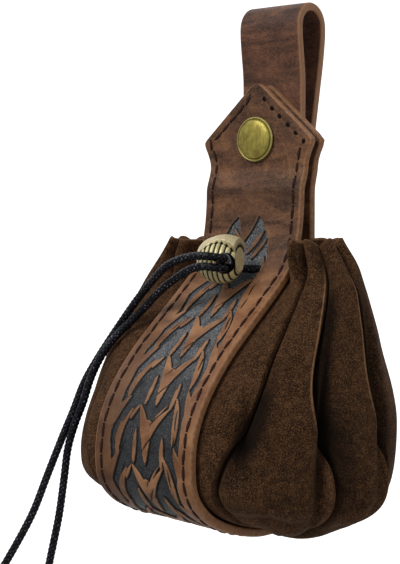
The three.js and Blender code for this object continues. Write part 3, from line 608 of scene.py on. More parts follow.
def lozenge(length, width, height):
    """Points and faces of a rounded lozenge along X, its top along Z."""
    rings, sides = 7, 8
    points = []
    for i in range(rings):
        u = math.cos(math.pi * i / (rings - 1))
        swell = math.sqrt(max(1 - abs(u) ** 3.2, 0.0))
        for k in range(sides):
            a = 2 * math.pi * k / sides
            across, rise = swell * math.cos(a), swell * math.sin(a)
            points.append((u * length / 2, across * width / 2, rise * height / 2))
    return np.array(points), capped_faces(rings, sides)


def seam_places(side):
    """Middle, direction, outward normal and length of each stitch of a side; length 0 is a bare hole."""
    source = strip_way()
    lengths = way_lengths(source[:, :2])
    fine = np.arange(0, lengths[-1], SEAM_STEP)
    rows = resampled(source, lengths, fine)
    groove = strip_columns(rows[:, 2], fine)[1]
    normal = way_normals(rows[:, :2])
    line = settled(np.stack([side * groove, rows[:, 0], rows[:, 1]], 1))
    ways = np.gradient(line, axis=0)
    ways /= np.linalg.norm(ways, axis=1, keepdims=True)
    run = way_lengths(line)
    start = float(np.interp(SEAM_HALF_WIDTH, rows[:120, 2], run[:120]))
    stop = run[-1] - start
    waist = float(np.interp(WAIST_DROP, -rows[:400, 1], run[:400]))
    places = []
    s = start
    while s < stop:
        on_head = s < waist or s > run[-1] - waist
        pitch = HEAD_STITCH_PITCH if on_head else STITCH_PITCH
        i = int(np.argmin(np.abs(run - s)))
        bare = side > 0 and len(places) < BARE_HOLES
        out = np.array([0, normal[i, 0], normal[i, 1]])
        places.append((line[i], ways[i], out, 0 if bare else STITCH_SHARE * pitch))
        s += pitch
    return places


def stitch_parts(length):
    """A stitch and its holes: place along, length, width, height, rise, and 1 for a hole."""
    # the holes are dark lozenges laid on the leather, their darkness painted shade
    if not length:
        return [(0, BARE_HOLE, BARE_HOLE * 0.85, 0.2, -0.02, 1)]
    end = length / 2 + 0.1
    holes = [(place, HOLE, HOLE, 0.2, -0.05, 1) for place in (-end, end)]
    return [(0, length, THREAD, 0.72, 0.0, 0)] + holes


def build_stitches(material):
    points, faces, holes = [], [], []
    count = 0
    for side in (-1, 1):
        for number, (middle, way, out, length) in enumerate(seam_places(side)):
            across = np.cross(out, way)
            across /= np.linalg.norm(across)
            up = np.cross(way, across)
            slanted = way + 0.09 * math.sin(number * 2.3) * across
            for place, long, wide, high, rise, hole in stitch_parts(length):
                shape, cover = lozenge(long, wide, high)
                laid = shape @ np.stack([slanted, across, up])
                points.append(middle + slanted * place + laid + up * rise)
                holes.append(np.full(len(shape), hole))
                faces += [[v + count for v in face] for face in cover]
                count += len(shape)
    return piece_from("strip_stitches", np.concatenate(points), faces, material, "tooled_leather",
                      {"hole": np.concatenate(holes)})


# Gussets
GUSSET_LEVELS = 124
LAST_LEVEL = 0.968
OUTLINE_STEPS = 120
RIM_ARCH = 1.5
FRONT_LOBE = 7.2
# Places across a fold: where its panel starts, its highest place, its lit ridge and the samples taken
PANEL_START = 0.07
CREST_PLACE = 0.92
RIDGE_PLACE = 0.915
FOLD_PLACES = np.concatenate([
    np.linspace(0, 0.1, 7)[:-1],
    np.linspace(0.1, 0.84, 11)[:-1],
    np.linspace(0.84, 1, 13)[:-1],
])
# How far each fold's start lies in the shade of the fold before it
FOLD_SHADES = (0, 0.1, 1, 0.8, 0.6, 0.5)
# How much painted shade darkens the hollow at each fold's start on the pouch's right side, and its level
# and reach
HOLLOW_SHADES = (0, 1, 0, 0, 0, 0)
HOLLOW_LEVEL = 0.43
HOLLOW_REACH = 0.1
# How lit each fold's crest is, and how wide the lit line is
CREST_LIGHTS = (0, 1, 0.9, 0.7, 0.6, 0)
CREST_WIDTH = 0.017
# The rounded rim of a side: places between its outer and inner skin, and how far it rises
RIM_PLACES = (0.15, 0.5, 0.85)
RIM_RISE = 0.45 * SUEDE
# Dents and swellings of the soft sides: level, share of the way round, reach down, reach round, depth
DENTS = {
    1: ((0.45, 0.118, 0.085, 0.03, 5.5), (0.5, 0.35, 0.24, 0.02, 4.5), (0.45, 0.54, 0.2, 0.016, 3),
        (0.72, 0.2, 0.03, 0.12, 1.7), (0.3, 0.42, 0.05, 0.04, 0.9), (0.5, 0.25, 0.05, 0.05, 1.1),
        (0.76, 0.5, 0.045, 0.05, 1.6), (0.62, 0.53, 0.09, 0.11, -3.2), (0.42, 0.52, 0.16, 0.14, -1.4),
        (0.84, 0.4, 0.07, 0.08, 1.6)),
    -1: ((0.45, 0.14, 0.1, 0.035, 4), (0.5, 0.6, 0.13, 0.03, 3), (0.72, 0.3, 0.04, 0.12, 1.6)),
}


def fold_arch(u, skew):
    """Height of a fold at a share of its width: round where skew is 0, crisp where it is 1."""
    even = np.sin(np.pi * np.clip(u, 0, 1)) ** FOLD_ROUNDNESS
    rise = 0.84 * smooth(0, PANEL_START, u) ** 0.8 + 0.16 * np.clip(u / CREST_PLACE, 0, 1)
    fall = (1 - np.clip((u - CREST_PLACE) / (1 - CREST_PLACE), 0, 1) ** 2.4) ** 0.8
    return blend(even, rise * fall, skew)


def seam_line(t, front):
    """The strip's inner face, a gap inside it: y, z and normal."""
    step = 0.004
    low, high = np.clip(t - step, 0, 1), np.clip(t + step, 0, 1)
    y = front_y if front else back_y
    sign = 1 if front else -1
    dy = sign * (y(high) - y(low))
    dz = sign * (body_z(high) - body_z(low))
    size = np.hypot(dy, dz)
    ny, nz = dz / size, -dy / size
    inset = LEATHER + GAP
    return y(t) - ny * inset, body_z(t) - nz * inset, ny, nz


def valley_values(t):
    """Place and depth of each valley at t."""
    def between(stops, values):
        i = 1
        while i < len(stops) - 1 and t > stops[i]:
            i += 1
        u = (t - stops[i - 1]) / (stops[i] - stops[i - 1])
        return blend(values[i - 1], values[i], float(smooth(0, 1, u)))
    places, depths = [], []
    for mouth, belly, low, gather, deep, low_deep in zip(*VALLEYS.values()):
        gathered = gather * GATHER_DEPTH
        sunk = (gathered * RIM_SHARE, gathered, deep * FOLD_DEPTH, low_deep * FOLD_DEPTH, 0)
        places.append(between(PLACE_STOPS, (mouth, belly, low, low)))
        depths.append(between(FOLD_STOPS, sunk))
    return places, depths


def side_outline(t, side):
    """A side's smooth outline at t, from the front seam round to the back one."""
    fy, fz = seam_line(t, True)[:2]
    by, bz = seam_line(t, False)[:2]
    wrap = math.radians(max(float(along(BODY["wrap"], t)), 0))
    left = float(along(BODY["left"], t)) if side < 0 else 1
    reach = max(SIDE_REACH * float(along(BODY["side"], t)) * left - GAP, 0.5)
    half = reach / (1 + math.sin(wrap))
    centre_x = STRIP_WIDTH / 2 + GAP + half * math.sin(wrap)
    centre_y = blend(fy, by, float(along(BODY["middle"], t)))
    share = np.linspace(0, 1, OUTLINE_STEPS)
    angle = blend(-wrap, math.pi + wrap, share)
    reach_y = np.where(angle < math.pi / 2, centre_y - fy, by - centre_y) / math.cos(wrap)
    x = side * (centre_x + half * np.sin(angle))
    z = blend(blend(fz, bz, share), float(body_z(t)), np.sin(math.pi * share) ** 2)
    return np.stack([x, centre_y - reach_y * np.cos(angle), z], 1)


def fold_rows(t, side):
    """Share of the way round, depth, lit crest and shade at each sample of the folds at t."""
    places, depths = valley_values(t)
    skew = float(smooth(0.03, 0.16, t) * (1 - smooth(0.62, 0.92, t)))
    high_up = skew * (1 - 0.9 * float(smooth(0.34, 0.5, t)))
    shadow = smooth(0.03, 0.2, t) * (1 - 0.7 * smooth(0.42, 0.75, t))
    hollow = 1.5 * (side > 0) * math.exp(-((t - HOLLOW_LEVEL) / HOLLOW_REACH) ** 2)
    folds = []
    for k, light in enumerate(CREST_LIGHTS):
        u = FOLD_PLACES if k < len(CREST_LIGHTS) - 1 else np.append(FOLD_PLACES, 1)
        depth = (1 - fold_arch(u, skew)) * blend(depths[k], depths[k + 1], u)
        crest = light * high_up * np.exp(-((u - RIDGE_PLACE) / CREST_WIDTH) ** 2)
        dim = FOLD_SHADES[k] * shadow * (1 - smooth(0.1, 0.56, u))
        dark = HOLLOW_SHADES[k] * hollow * (1 - smooth(0.12, 0.42, u))
        shade = np.maximum(dim, dark).clip(0, 1)
        folds.append(np.stack([blend(places[k], places[k + 1], u), depth, crest, shade]))
    return np.concatenate(folds, 1)


def gusset_rows(side):
    """Levels and outline points of a side, and their shares of the way round, depths, crests, shades."""
    levels = LAST_LEVEL * np.linspace(0, 1, GUSSET_LEVELS) ** 0.92
    outline, folds = [], []
    for t in levels:
        ring = side_outline(t, side)
        lengths = way_lengths(ring)
        rows = fold_rows(t, side)
        outline.append(resampled(ring, lengths, rows[0] * lengths[-1]))
        folds.append(rows)
    return levels, np.array(outline), *np.array(folds).transpose(1, 0, 2)


def gusset_shift(side, u, v, depth):
    """How far the folds, the suede's unevenness and the dents push it in."""
    belly = smooth(0.12, 0.4, v) * (1 - smooth(0.8, 0.96, v)) * np.sin(math.pi * u).clip(0, 1) ** 0.5
    soft = 0.55 * ripple(u * 26 + v * 5, v * 13, 4 + side)
    soft = soft + 0.35 * ripple(u * 60, v * 17 + u * 9, 7 - side)
    shift = depth + soft * belly
    for level, share, down, around, deep in DENTS[side]:
        shift = shift + deep * np.exp(-((v - level) / down) ** 2 - ((u - share) / around) ** 2)
    return shift


def flange(side, levels, front, under):
    """One column of a side's edge, which lies under the strip."""
    y, z, ny, nz = seam_line(levels, front)
    x = np.full_like(y, side * (STRIP_WIDTH / 2 - SEAM))
    return np.stack([x, y - ny * under, z - nz * under], 1)[:, None]


def gusset_skins(side, levels, outline, u, depth, shift):
    """Outer and inner points of a side, its edges under the strip included."""
    round_way = np.gradient(outline, axis=1)
    normal = np.cross(round_way, np.gradient(outline, axis=0))
    normal /= np.linalg.norm(normal, axis=2, keepdims=True)
    normal *= -side
    v = levels[:, None]
    slope = np.gradient(shift, axis=1) / np.maximum(np.linalg.norm(round_way, axis=2), 1e-6)
    thick = SUEDE * np.minimum(np.hypot(1, slope), 1.4)
    rise = RIM_ARCH * (1 - depth / GATHER_DEPTH).clip(0, 1) * np.exp(-v / 0.035)
    lobe = smooth(0.015, 0.05, u) * (1 - smooth(0.1, 0.16, u)) + 0.6 * np.exp(-((u - 0.235) / 0.06) ** 2)
    ahead = FRONT_LOBE * lobe * (1 - smooth(0.03, 0.13, v))
    skins = []
    for sunk, lifted, under in ((shift, rise, 0), (shift + thick, rise * 0.9, SUEDE)):
        skin = outline - normal * sunk[..., None]
        skin[..., 1] -= ahead
        skin[..., 2] += lifted
        front, back = flange(side, levels, True, under), flange(side, levels, False, under)
        skins.append(np.concatenate([front, skin, back], 1))
    return skins


def gusset_faces(rows, across):
    """Faces of a side: its rows run up the outer skin, over the rim and down the inner skin."""
    total = 2 * rows + len(RIM_PLACES)
    faces = ring_quads(total, across, False).tolist()

    def at(row, column):
        return row * across + column

    ends = ((0, 1), (across - 1, -1))
    for row in range(rows - 1):
        twin = total - 1 - row
        for column, turn in ends:
            quad = [at(row, column), at(row + 1, column), at(twin - 1, column), at(twin, column)]
            faces.append(quad[::turn])
    for column, turn in ends:
        faces.append([at(rows - 1 + k, column) for k in range(len(RIM_PLACES) + 2)][::turn])
    for row, turn in ((0, 1), (total - 1, -1)):
        for left in range((across - 1) // 2):
            right = across - 1 - left
            corners = sorted({left, left + 1, right - 1, right})
            faces.append([at(row, column) for column in corners][::turn])
    faces.append([at(0, 0), at(0, across - 1), at(total - 1, across - 1), at(total - 1, 0)])
    return faces


def build_gusset(side, name, node, material):
    levels, outline, u, depth, crest, shade = gusset_rows(side)
    v = levels[:, None] * np.ones((1, u.shape[1]))
    shift = gusset_shift(side, u, v, depth)
    outer, inner = gusset_skins(side, levels, outline, u, depth, shift)
    rim = []
    for share in RIM_PLACES:
        rise = np.array([0, 0, RIM_RISE * math.sin(math.pi * share)])
        rim.append(blend(outer[0], inner[0], share) + rise)
    rows, across = outer.shape[:2]
    beside = ((0, 0), (1, 1))
    on_outer, on_rim = np.zeros((rows, across)), np.ones((len(rim), across))
    edges = np.concatenate([on_outer, on_rim, on_outer])
    edges[rows - 1] = 0.4
    attributes = {"edge": edges, "inside": np.concatenate([on_outer, 0 * on_rim, on_outer + 1])}
    grids = {
        "valley": np.pad(shift / FOLD_DEPTH, beside),
        "crest": np.pad(crest, beside, mode="edge"),
        "shade": np.pad(shade, beside, mode="edge"),
    }
    for key, grid in grids.items():
        attributes[key] = np.concatenate([grid[::-1], np.repeat(grid[:1], len(rim), 0), grid])
    points = settled(np.concatenate([outer[::-1], np.array(rim), inner]))
    piece = piece_from(name, points, gusset_faces(rows, across), material, "suede", attributes)
    return worn(piece, "suede", node)


# Belt loop
LOOP_STEP = 0.8
LOOP_COLUMNS = 41


def loop_way():
    """The belt loop's outer face, from its back end over the arch to its front end: y and z."""
    outer = LOOP_SPACE / 2 + LEATHER
    arch_z = -LOOP_SPACE / 2
    on_neck, on_head = NECK_BACK_Y + GAP, HEAD_BACK_Y + GAP
    joined = on_neck + 2 * LEATHER + GAP
    way = [(on_neck, -LOOP_END_DROP), (on_neck, -LOOP_JOIN_DROP)]
    for u in np.linspace(0, 1, 20)[::-1]:
        way.append((blend(on_head, on_neck, float(smooth(0, 1, u))), -blend(WAIST_DROP, NECK_DROP, u)))
    way += [(on_head, -HEAD_TIP_DROP - 8), (on_head, -HEAD_TIP_DROP)]
    for u in np.linspace(0.1, 0.9, 9):
        way.append((blend(on_head, -outer, float(smooth(0, 1, u))), blend(-HEAD_TIP_DROP, arch_z, u)))
    for angle in np.linspace(math.pi, 0, 40):
        way.append((outer * math.cos(angle), arch_z + outer * math.sin(angle)))
    for t in np.linspace(0, 1, 40)[1:]:
        into, down = (float(along(BACK_STRAP[key], t)) for key in ("into", "down"))
        way.append((blend(outer, joined, into), blend(arch_z, -LOOP_JOIN_DROP, down)))
    way.append((joined, -LOOP_END_DROP))
    return np.array(way)[::-1]


def build_loop(material):
    source = loop_way()
    lengths = way_lengths(source)
    stations = np.arange(0, lengths[-1], LOOP_STEP)
    way = resampled(source, lengths, stations)
    mean = np.ones(5) / 5
    way = np.stack([np.convolve(np.pad(way[:, k], 2, mode="edge"), mean, "valid") for k in range(2)], 1)
    half = np.full(len(way), LOOP_WIDTH / 2)
    columns = np.stack([share * (half - CORNER) for share in np.linspace(-1, 1, LOOP_COLUMNS)], 1)
    s = np.repeat(stations[:, None], columns.shape[1], 1)
    points, edge = band(way, half, columns, 0.05 * ripple(columns / 4, s / 5, 9))
    return piece_from("belt_loop_strap", points, capped_faces(*points.shape[:2]), material,
                      "loop_leather", {"edge": edge})


# Turned fittings: creases sharper than this angle stay sharp, and points nearer than this, in metres,
# are made one. Profiles are radius and height above a face; the cap's radii are shares of its own
TURNED_STEPS = 72
TURNED_CREASE = 38
SAME_PLACE = 0.000004
SHANK = 1.7
CAP_PROFILE = ((0, 1.95), (0.3, 1.9), (0.55, 1.74), (0.72, 1.5), (0.83, 1.2), (0.875, 0.9), (0.89, 0.72),
               (0.91, 0.7), (0.94, 0.84), (0.975, 0.8), (1, 0.55), (0.99, 0.2), (0.95, 0))
SOCKET_PROFILE = ((SHANK, 0), (5, 0), (5, -0.75), (4.7, -0.9), (2.6, -0.9), (2.4, -0.7), (2.4, -0.2),
                  (0, -0.2))
STUD_PROFILE = ((0, 1.5), (1.5, 1.45), (1.85, 1.2), (1.9, 0.5), (3.9, 0.5), (4.2, 0.25), (4.2, 0),
                (SHANK, 0))
PLATE_PROFILE = ((SHANK, 0), (5, 0), (5, -0.25), (4.7, -0.5), (3, -0.8), (2.4, -0.82), (2.2, -0.6),
                 (0, -0.6))
RIVET_PROFILE = ((0, 0.9), (3, 0.8), (4.2, 0.4), (4.5, 0), (SHANK, 0))
BURR_PROFILE = ((SHANK, 0), (4.5, 0), (4.45, -0.35), (4.1, -0.8), (3.1, -1.25), (1.6, -1.53), (0, -1.6))


def turned_to(direction, place):
    """Turns Z to a direction and moves the origin to a place in millimetres."""
    turn = Vector((0, 0, 1)).rotation_difference(Vector(direction)).to_matrix().to_4x4()
    return Matrix.Translation(Vector(place) * MM) @ turn


def turned(name, profile, place, direction, material):
    """Spins a half profile of (radius, height) about a direction at a place, all in millimetres."""
    mesh = bpy.data.meshes.new(name)
    points = [(r * MM, 0, h * MM) for r, h in profile]
    mesh.from_pydata(points, [(i, i + 1) for i in range(len(points) - 1)], [])
    piece = bpy.data.objects.new(name, mesh)
    bpy.context.scene.collection.objects.link(piece)
    alone(piece)
    bpy.ops.object.mode_set(mode="EDIT")
    bpy.ops.mesh.select_all(action="SELECT")
    bpy.ops.mesh.spin(steps=TURNED_STEPS, angle=2 * math.pi, center=(0, 0, 0), axis=(0, 0, 1))
    bpy.ops.mesh.select_all(action="SELECT")
    bpy.ops.mesh.remove_doubles(threshold=SAME_PLACE)
    bpy.ops.mesh.normals_make_consistent(inside=False)
    bpy.ops.object.mode_set(mode="OBJECT")
    widest = max(r for r, h in profile) * MM
    layer = mesh.attributes.new("radius", "FLOAT", "POINT")
    for number, vertex in enumerate(mesh.vertices):
        layer.data[number].value = math.hypot(vertex.co.x, vertex.co.y) / widest
    mesh.transform(turned_to(direction, place))
    mesh.materials.append(material)
    bpy.ops.object.shade_smooth_by_angle(angle=math.radians(TURNED_CREASE))
    return piece


def build_fittings(brass):
    """The snap's two halves and the rivet, each turned about Y from two profiles and their faces."""
    low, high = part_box("snap_cap")
    cap_radius = (high.x - low.x) / 2 / MM
    cap_profile = [(share * cap_radius, height) for share, height in CAP_PROFILE] + [(SHANK, 0)]
    on_front, in_front = HEAD_FRONT_Y - GAP, HEAD_FRONT_Y + LEATHER + GAP
    on_back, under_loop = HEAD_BACK_Y - LEATHER - GAP, HEAD_BACK_Y + GAP + LEATHER + GAP
    in_strip, on_loop = NECK_BACK_Y - LEATHER - GAP, NECK_BACK_Y + GAP + 2 * LEATHER + 2 * GAP
    snap_place, rivet_place = (0, 0, -SNAP_DROP), (0, 0, -RIVET_DROP)
    for name, node, place, head, head_y, foot, foot_y in (
            ("snap_cap_face", "snap_cap", snap_place, cap_profile, on_front, SOCKET_PROFILE, in_front),
            ("snap_stud_plate", "snap_stud", snap_place, STUD_PROFILE, on_back, PLATE_PROFILE, under_loop),
            ("loop_rivet_head", "loop_rivet", rivet_place, RIVET_PROFILE, in_strip, BURR_PROFILE,
             on_loop)):
        profile = [(radius, height - head_y) for radius, height in head]
        profile += [(radius, height - foot_y) for radius, height in foot]
        worn(turned(name, profile, place, (0, -1, 0), brass), "antique_brass", node)


# Bead: a barrel seen a little from its flat right end, with ribs round it and a plain cap on top
RIB_PITCH = 1.7
RIB_DEPTH = 0.5
BARREL_TURN = 18
BARREL_RADIUS = 7.7
BARREL_LEFT = 8.3
BARREL_RIGHT = 5.9
BARREL_RISE = 0.9
FACET_RADIUS = 4.3
CAP_RADIUS = 8.3
# Rows over the flat end: distance along, share of its radius, dark share
FACET_ROWS = ((0, 1, 0.9), (0.04, 0.93, 0.3), (0.12, 0.88, 0), (0.12, 0.8, 0), (0, 0.74, 0.25),
              (-0.1, 0.68, 0.1), (-0.06, 0.4, 0), (-0.06, 0.02, 0))
# How much polish and painted highlight the flat end takes
FACET_POLISH_AND_HIGHLIGHT = 0.35
BEAD_SIDES = 190
BEAD_CREASE = 50


def barrel_rows():
    """Place and radius of the bead's barrel along its axis."""
    place = np.sin(np.linspace(-0.97, 0.97, 150) * math.pi / 2) / math.sin(0.97 * math.pi / 2)
    place = blend(-BARREL_LEFT, BARREL_RIGHT, (place + 1) / 2)
    left = BARREL_RADIUS * np.clip(1 - (-place.clip(None, 0) / BARREL_LEFT) ** 2.6, 0, 1) ** 0.42
    right = (BARREL_RADIUS - FACET_RADIUS) * (place.clip(0, None) / BARREL_RIGHT) ** 2.2
    return place[:, None], (left - right)[:, None]


def bead_surface(rise):
    """Place along the axis, radius, dark share, and polish and painted highlight of the bead, its flat end
    last.
    """
    place, barrel = barrel_rows()
    ribs = (0.5 + 0.5 * np.cos(2 * math.pi * (place - 0.8 * rise) / RIB_PITCH)) ** 0.55
    reach = 0.8 - 0.008 * (place - 0.7) ** 2
    cap = smooth(reach - 0.03, reach + 0.03, rise + 0 * place) * smooth(-BARREL_LEFT, -7, place)
    crown = np.maximum(CAP_RADIUS - 0.05 * (place - 1) ** 2, barrel)
    groove = (1 - ribs) * (1 - cap)
    seam = np.exp(-((rise - reach + 0.05) / 0.03) ** 2) * (np.abs(place) < 6)
    radius = np.maximum(blend(barrel, crown, cap) - RIB_DEPTH * groove - 0.25 * seam, 0.02)
    dark = np.clip(groove + 0.7 * seam, 0, 1)
    facet = np.array(FACET_ROWS)[..., None] + 0 * rise
    body_rows = (place + 0 * rise, radius, dark, cap)
    along_end, share, end_dark = facet[:, 0], facet[:, 1], facet[:, 2]
    end_rows = (BARREL_RIGHT + along_end, FACET_RADIUS * share, end_dark, FACET_POLISH_AND_HIGHLIGHT + 0 * share)
    return [np.concatenate(pair) for pair in zip(body_rows, end_rows)]


def drilled(piece, direction, width):
    """Cuts the bead's cord hole and makes its wall dark and dull."""
    bpy.ops.mesh.primitive_cylinder_add(vertices=64, radius=width / 2 * MM, depth=3 * BEAD_WIDTH * MM)
    drill = bpy.context.object
    drill.data.transform(turned_to(direction, BEAD_PLACE))
    alone(piece)
    cut = piece.modifiers.new("cord hole", "BOOLEAN")
    cut.operation = "DIFFERENCE"
    cut.solver = "EXACT"
    cut.object = drill
    bpy.ops.object.modifier_apply(modifier=cut.name)
    bpy.data.objects.remove(drill)
    groove, polish = (piece.data.attributes[key].data for key in ("groove", "polish"))
    for vertex in piece.data.vertices:
        off = vertex.co / MM - Vector(BEAD_PLACE)
        if (off - direction * off.dot(direction)).length < width / 2 + 0.05:
            groove[vertex.index].value = 1
            polish[vertex.index].value = 0


def build_bead(material):
    turn = math.radians(BARREL_TURN)
    axis = np.array([math.cos(turn), math.sin(turn), 0])
    front = np.array([math.sin(turn), -math.cos(turn), 0])
    up = np.array([0.0, 0.0, 1.0])
    angle = np.linspace(0, 2 * math.pi, BEAD_SIDES, endpoint=False)
    rise, side = np.cos(angle)[None, :], np.sin(angle)[None, :]
    place, radius, dark, polish = bead_surface(rise)
    points = radius[..., None] * (rise[..., None] * up + side[..., None] * front) + place[..., None] * axis
    points += np.array(BEAD_PLACE) + np.array([0, 0, BARREL_RISE])
    piece = piece_from("ribbed_bead", points, capped_faces(*radius.shape), material, "bead_brass",
                       {"groove": dark, "polish": polish})
    turn = math.radians(BEAD_TURN)
    drilled(piece, Vector((math.sin(turn), -math.cos(turn), 0)), 2 * CORD + 4 * GAP)
    alone(piece)
    bpy.ops.object.shade_smooth_by_angle(angle=math.radians(BEAD_CREASE))
    return piece


# Cords
BRAID_STRANDS = 5
BRAID_PITCH = 8
BRAID_RELIEF = 0.3
CORD_SIDES = 30
CORD_STEP = 0.26
CORD_END_REACH = 0.35
DRAWSTRING_STEP = 0.34
# The drawstring's side turns are drawn in a little beyond this half width, to lie inside the folds
DRAWSTRING_SIDE = 22
DRAWSTRING_TUCK = 0.955
# A free end's path takes one of this many points of its line
PATH_STRIDE = 12
# The knots' wraps: their width, their turns and how far out they lie
WRAP_WIDTH = 2.55
WRAP_TURNS = 2.4
WRAP_OUT = 2.05


def smooth_route(route, step=CORD_STEP):
    """Evenly spaced points on the centripetal curve through a route."""
    p = np.array(route, float)
    p = np.concatenate([[2 * p[0] - p[1]], p, [2 * p[-1] - p[-2]]])
    fine = []
    for i in range(1, len(p) - 2):
        p0, p1, p2, p3 = p[i - 1:i + 3]
        d = [max(np.linalg.norm(b - a) ** 0.5, 1e-4) for a, b in ((p0, p1), (p1, p2), (p2, p3))]
        t1 = (p1 - p0) / d[0] - (p2 - p0) / (d[0] + d[1]) + (p2 - p1) / d[1]
        t2 = (p2 - p1) / d[1] - (p3 - p1) / (d[1] + d[2]) + (p3 - p2) / d[2]
        t1, t2 = t1 * d[1], t2 * d[1]
        u = np.linspace(0, 1, 40, endpoint=False)[:, None]
        square, cube = -3 * p1 + 3 * p2 - 2 * t1 - t2, 2 * p1 - 2 * p2 + t1 + t2
        fine.append(p1 + t1 * u + square * u ** 2 + cube * u ** 3)
    fine = np.concatenate(fine + [p[-2:-1]])
    run = way_lengths(fine)
    count = max(int(run[-1] / step), 8)
    return resampled(fine, run, np.linspace(0, run[-1], count))


def braided_tube(name, line, width, material):
    """Round braided cord along a line of points, with both ends closed and rounded."""
    ways = np.gradient(line, axis=0)
    ways /= np.linalg.norm(ways, axis=1, keepdims=True)
    sideways = np.cross(ways[0], [0.3, 0.2, 1])
    sideways /= np.linalg.norm(sideways)
    across = []
    for way in ways:
        sideways = sideways - way * (sideways @ way)
        sideways /= np.linalg.norm(sideways)
        across.append(sideways)
    across = np.array(across)
    other = np.cross(ways, across)
    run = way_lengths(line)[:, None]
    angle = np.linspace(0, 2 * math.pi, CORD_SIDES, endpoint=False)[None, :]
    around, wound = BRAID_STRANDS * (angle / (2 * math.pi)), run / BRAID_PITCH * BRAID_STRANDS
    braid = np.abs(np.sin(math.pi * (around + wound)) * np.sin(math.pi * (around - wound))) ** 0.5
    from_end = np.minimum(run, run[-1] - run) / CORD_END_REACH
    close = np.sqrt(np.clip(1 - (1 - from_end).clip(0, 1) ** 2, 0.04, 1))
    radius = (width / 2 - BRAID_RELIEF * (1 - braid)) * close
    ring = np.cos(angle)[..., None] * across[:, None] + np.sin(angle)[..., None] * other[:, None]
    points = line[:, None] + radius[..., None] * ring
    return piece_from(name, points, capped_faces(len(line), CORD_SIDES), material, "waxed_cord",
                      {"braid": braid})


def cord_end_line(route, knot):
    """Free end's centreline down to the top of its knot, and the way the knot points."""
    last, place = np.array(route[-1], float), np.array(knot, float)
    down = (place - last) / np.linalg.norm(place - last)
    top = place - down * (KNOT_LENGTH / 2 + GAP)
    return smooth_route([*route, tuple(top)]), down


def knot_line(place, down):
    """A barrel knot's path: round its core from top to bottom, and out as a short tail."""
    side = np.cross(down, [0.2, 1, 0.1])
    side /= np.linalg.norm(side)
    other = np.cross(down, side)
    middle = np.array(place)
    points = []
    for share in np.linspace(0, 1, 90):
        turn = 2 * math.pi * WRAP_TURNS * share
        out = WRAP_OUT * math.sin(math.pi * min(max((share + 0.06) * 0.94, 0), 1)) ** 0.35
        height = blend(-KNOT_LENGTH / 2 + 1.3, KNOT_LENGTH / 2 - 1.4, share)
        points.append(middle + down * height + out * (math.cos(turn) * side + math.sin(turn) * other))
    tail = [middle + down * (KNOT_LENGTH / 2 + k) + 0.35 * k / KNOT_TAIL * side
            for k in (0.6, 2, 3.5, KNOT_TAIL)]
    return points + tail


def build_knot(name, place, down, material):
    wraps = smooth_route([tuple(p) for p in knot_line(place, down)])
    knot = braided_tube(name, wraps, WRAP_WIDTH, material)
    core_top = np.array(place) - down * (KNOT_LENGTH / 2)
    core = smooth_route([tuple(core_top + down * k) for k in (0, 2.8, 5.6, KNOT_LENGTH)])
    middle = braided_tube(name + "_core", core, CORD, material)
    alone(knot)
    middle.select_set(True)
    bpy.ops.object.join()
    return knot


# Shader expressions
class Value:
    """A shader socket that arithmetic can be written on: each operator adds a Math node."""

    def __init__(self, paint, socket):
        self.paint = paint
        self.socket = socket

    def math(self, operation, *values, clamp=False):
        """One Math node over the values."""
        settings = {"operation": operation, "use_clamp": clamp}
        return self.paint.node("ShaderNodeMath", settings, dict(enumerate(values)))

    def __add__(self, other):
        return self.math("ADD", self, other)

    def __radd__(self, other):
        return self.math("ADD", other, self)

    def __sub__(self, other):
        return self.math("SUBTRACT", self, other)

    def __rsub__(self, other):
        return self.math("SUBTRACT", other, self)

    def __mul__(self, other):
        return self.math("MULTIPLY", self, other)

    def __rmul__(self, other):
        return self.math("MULTIPLY", other, self)

    def kept(self):
        """The value kept between 0 and 1."""
        return self.math("ADD", self, 0.0, clamp=True)

    def step(self, low, high):
        """0 below low, 1 above high, straight between."""
        return ((self - low) * (1 / (high - low))).kept()


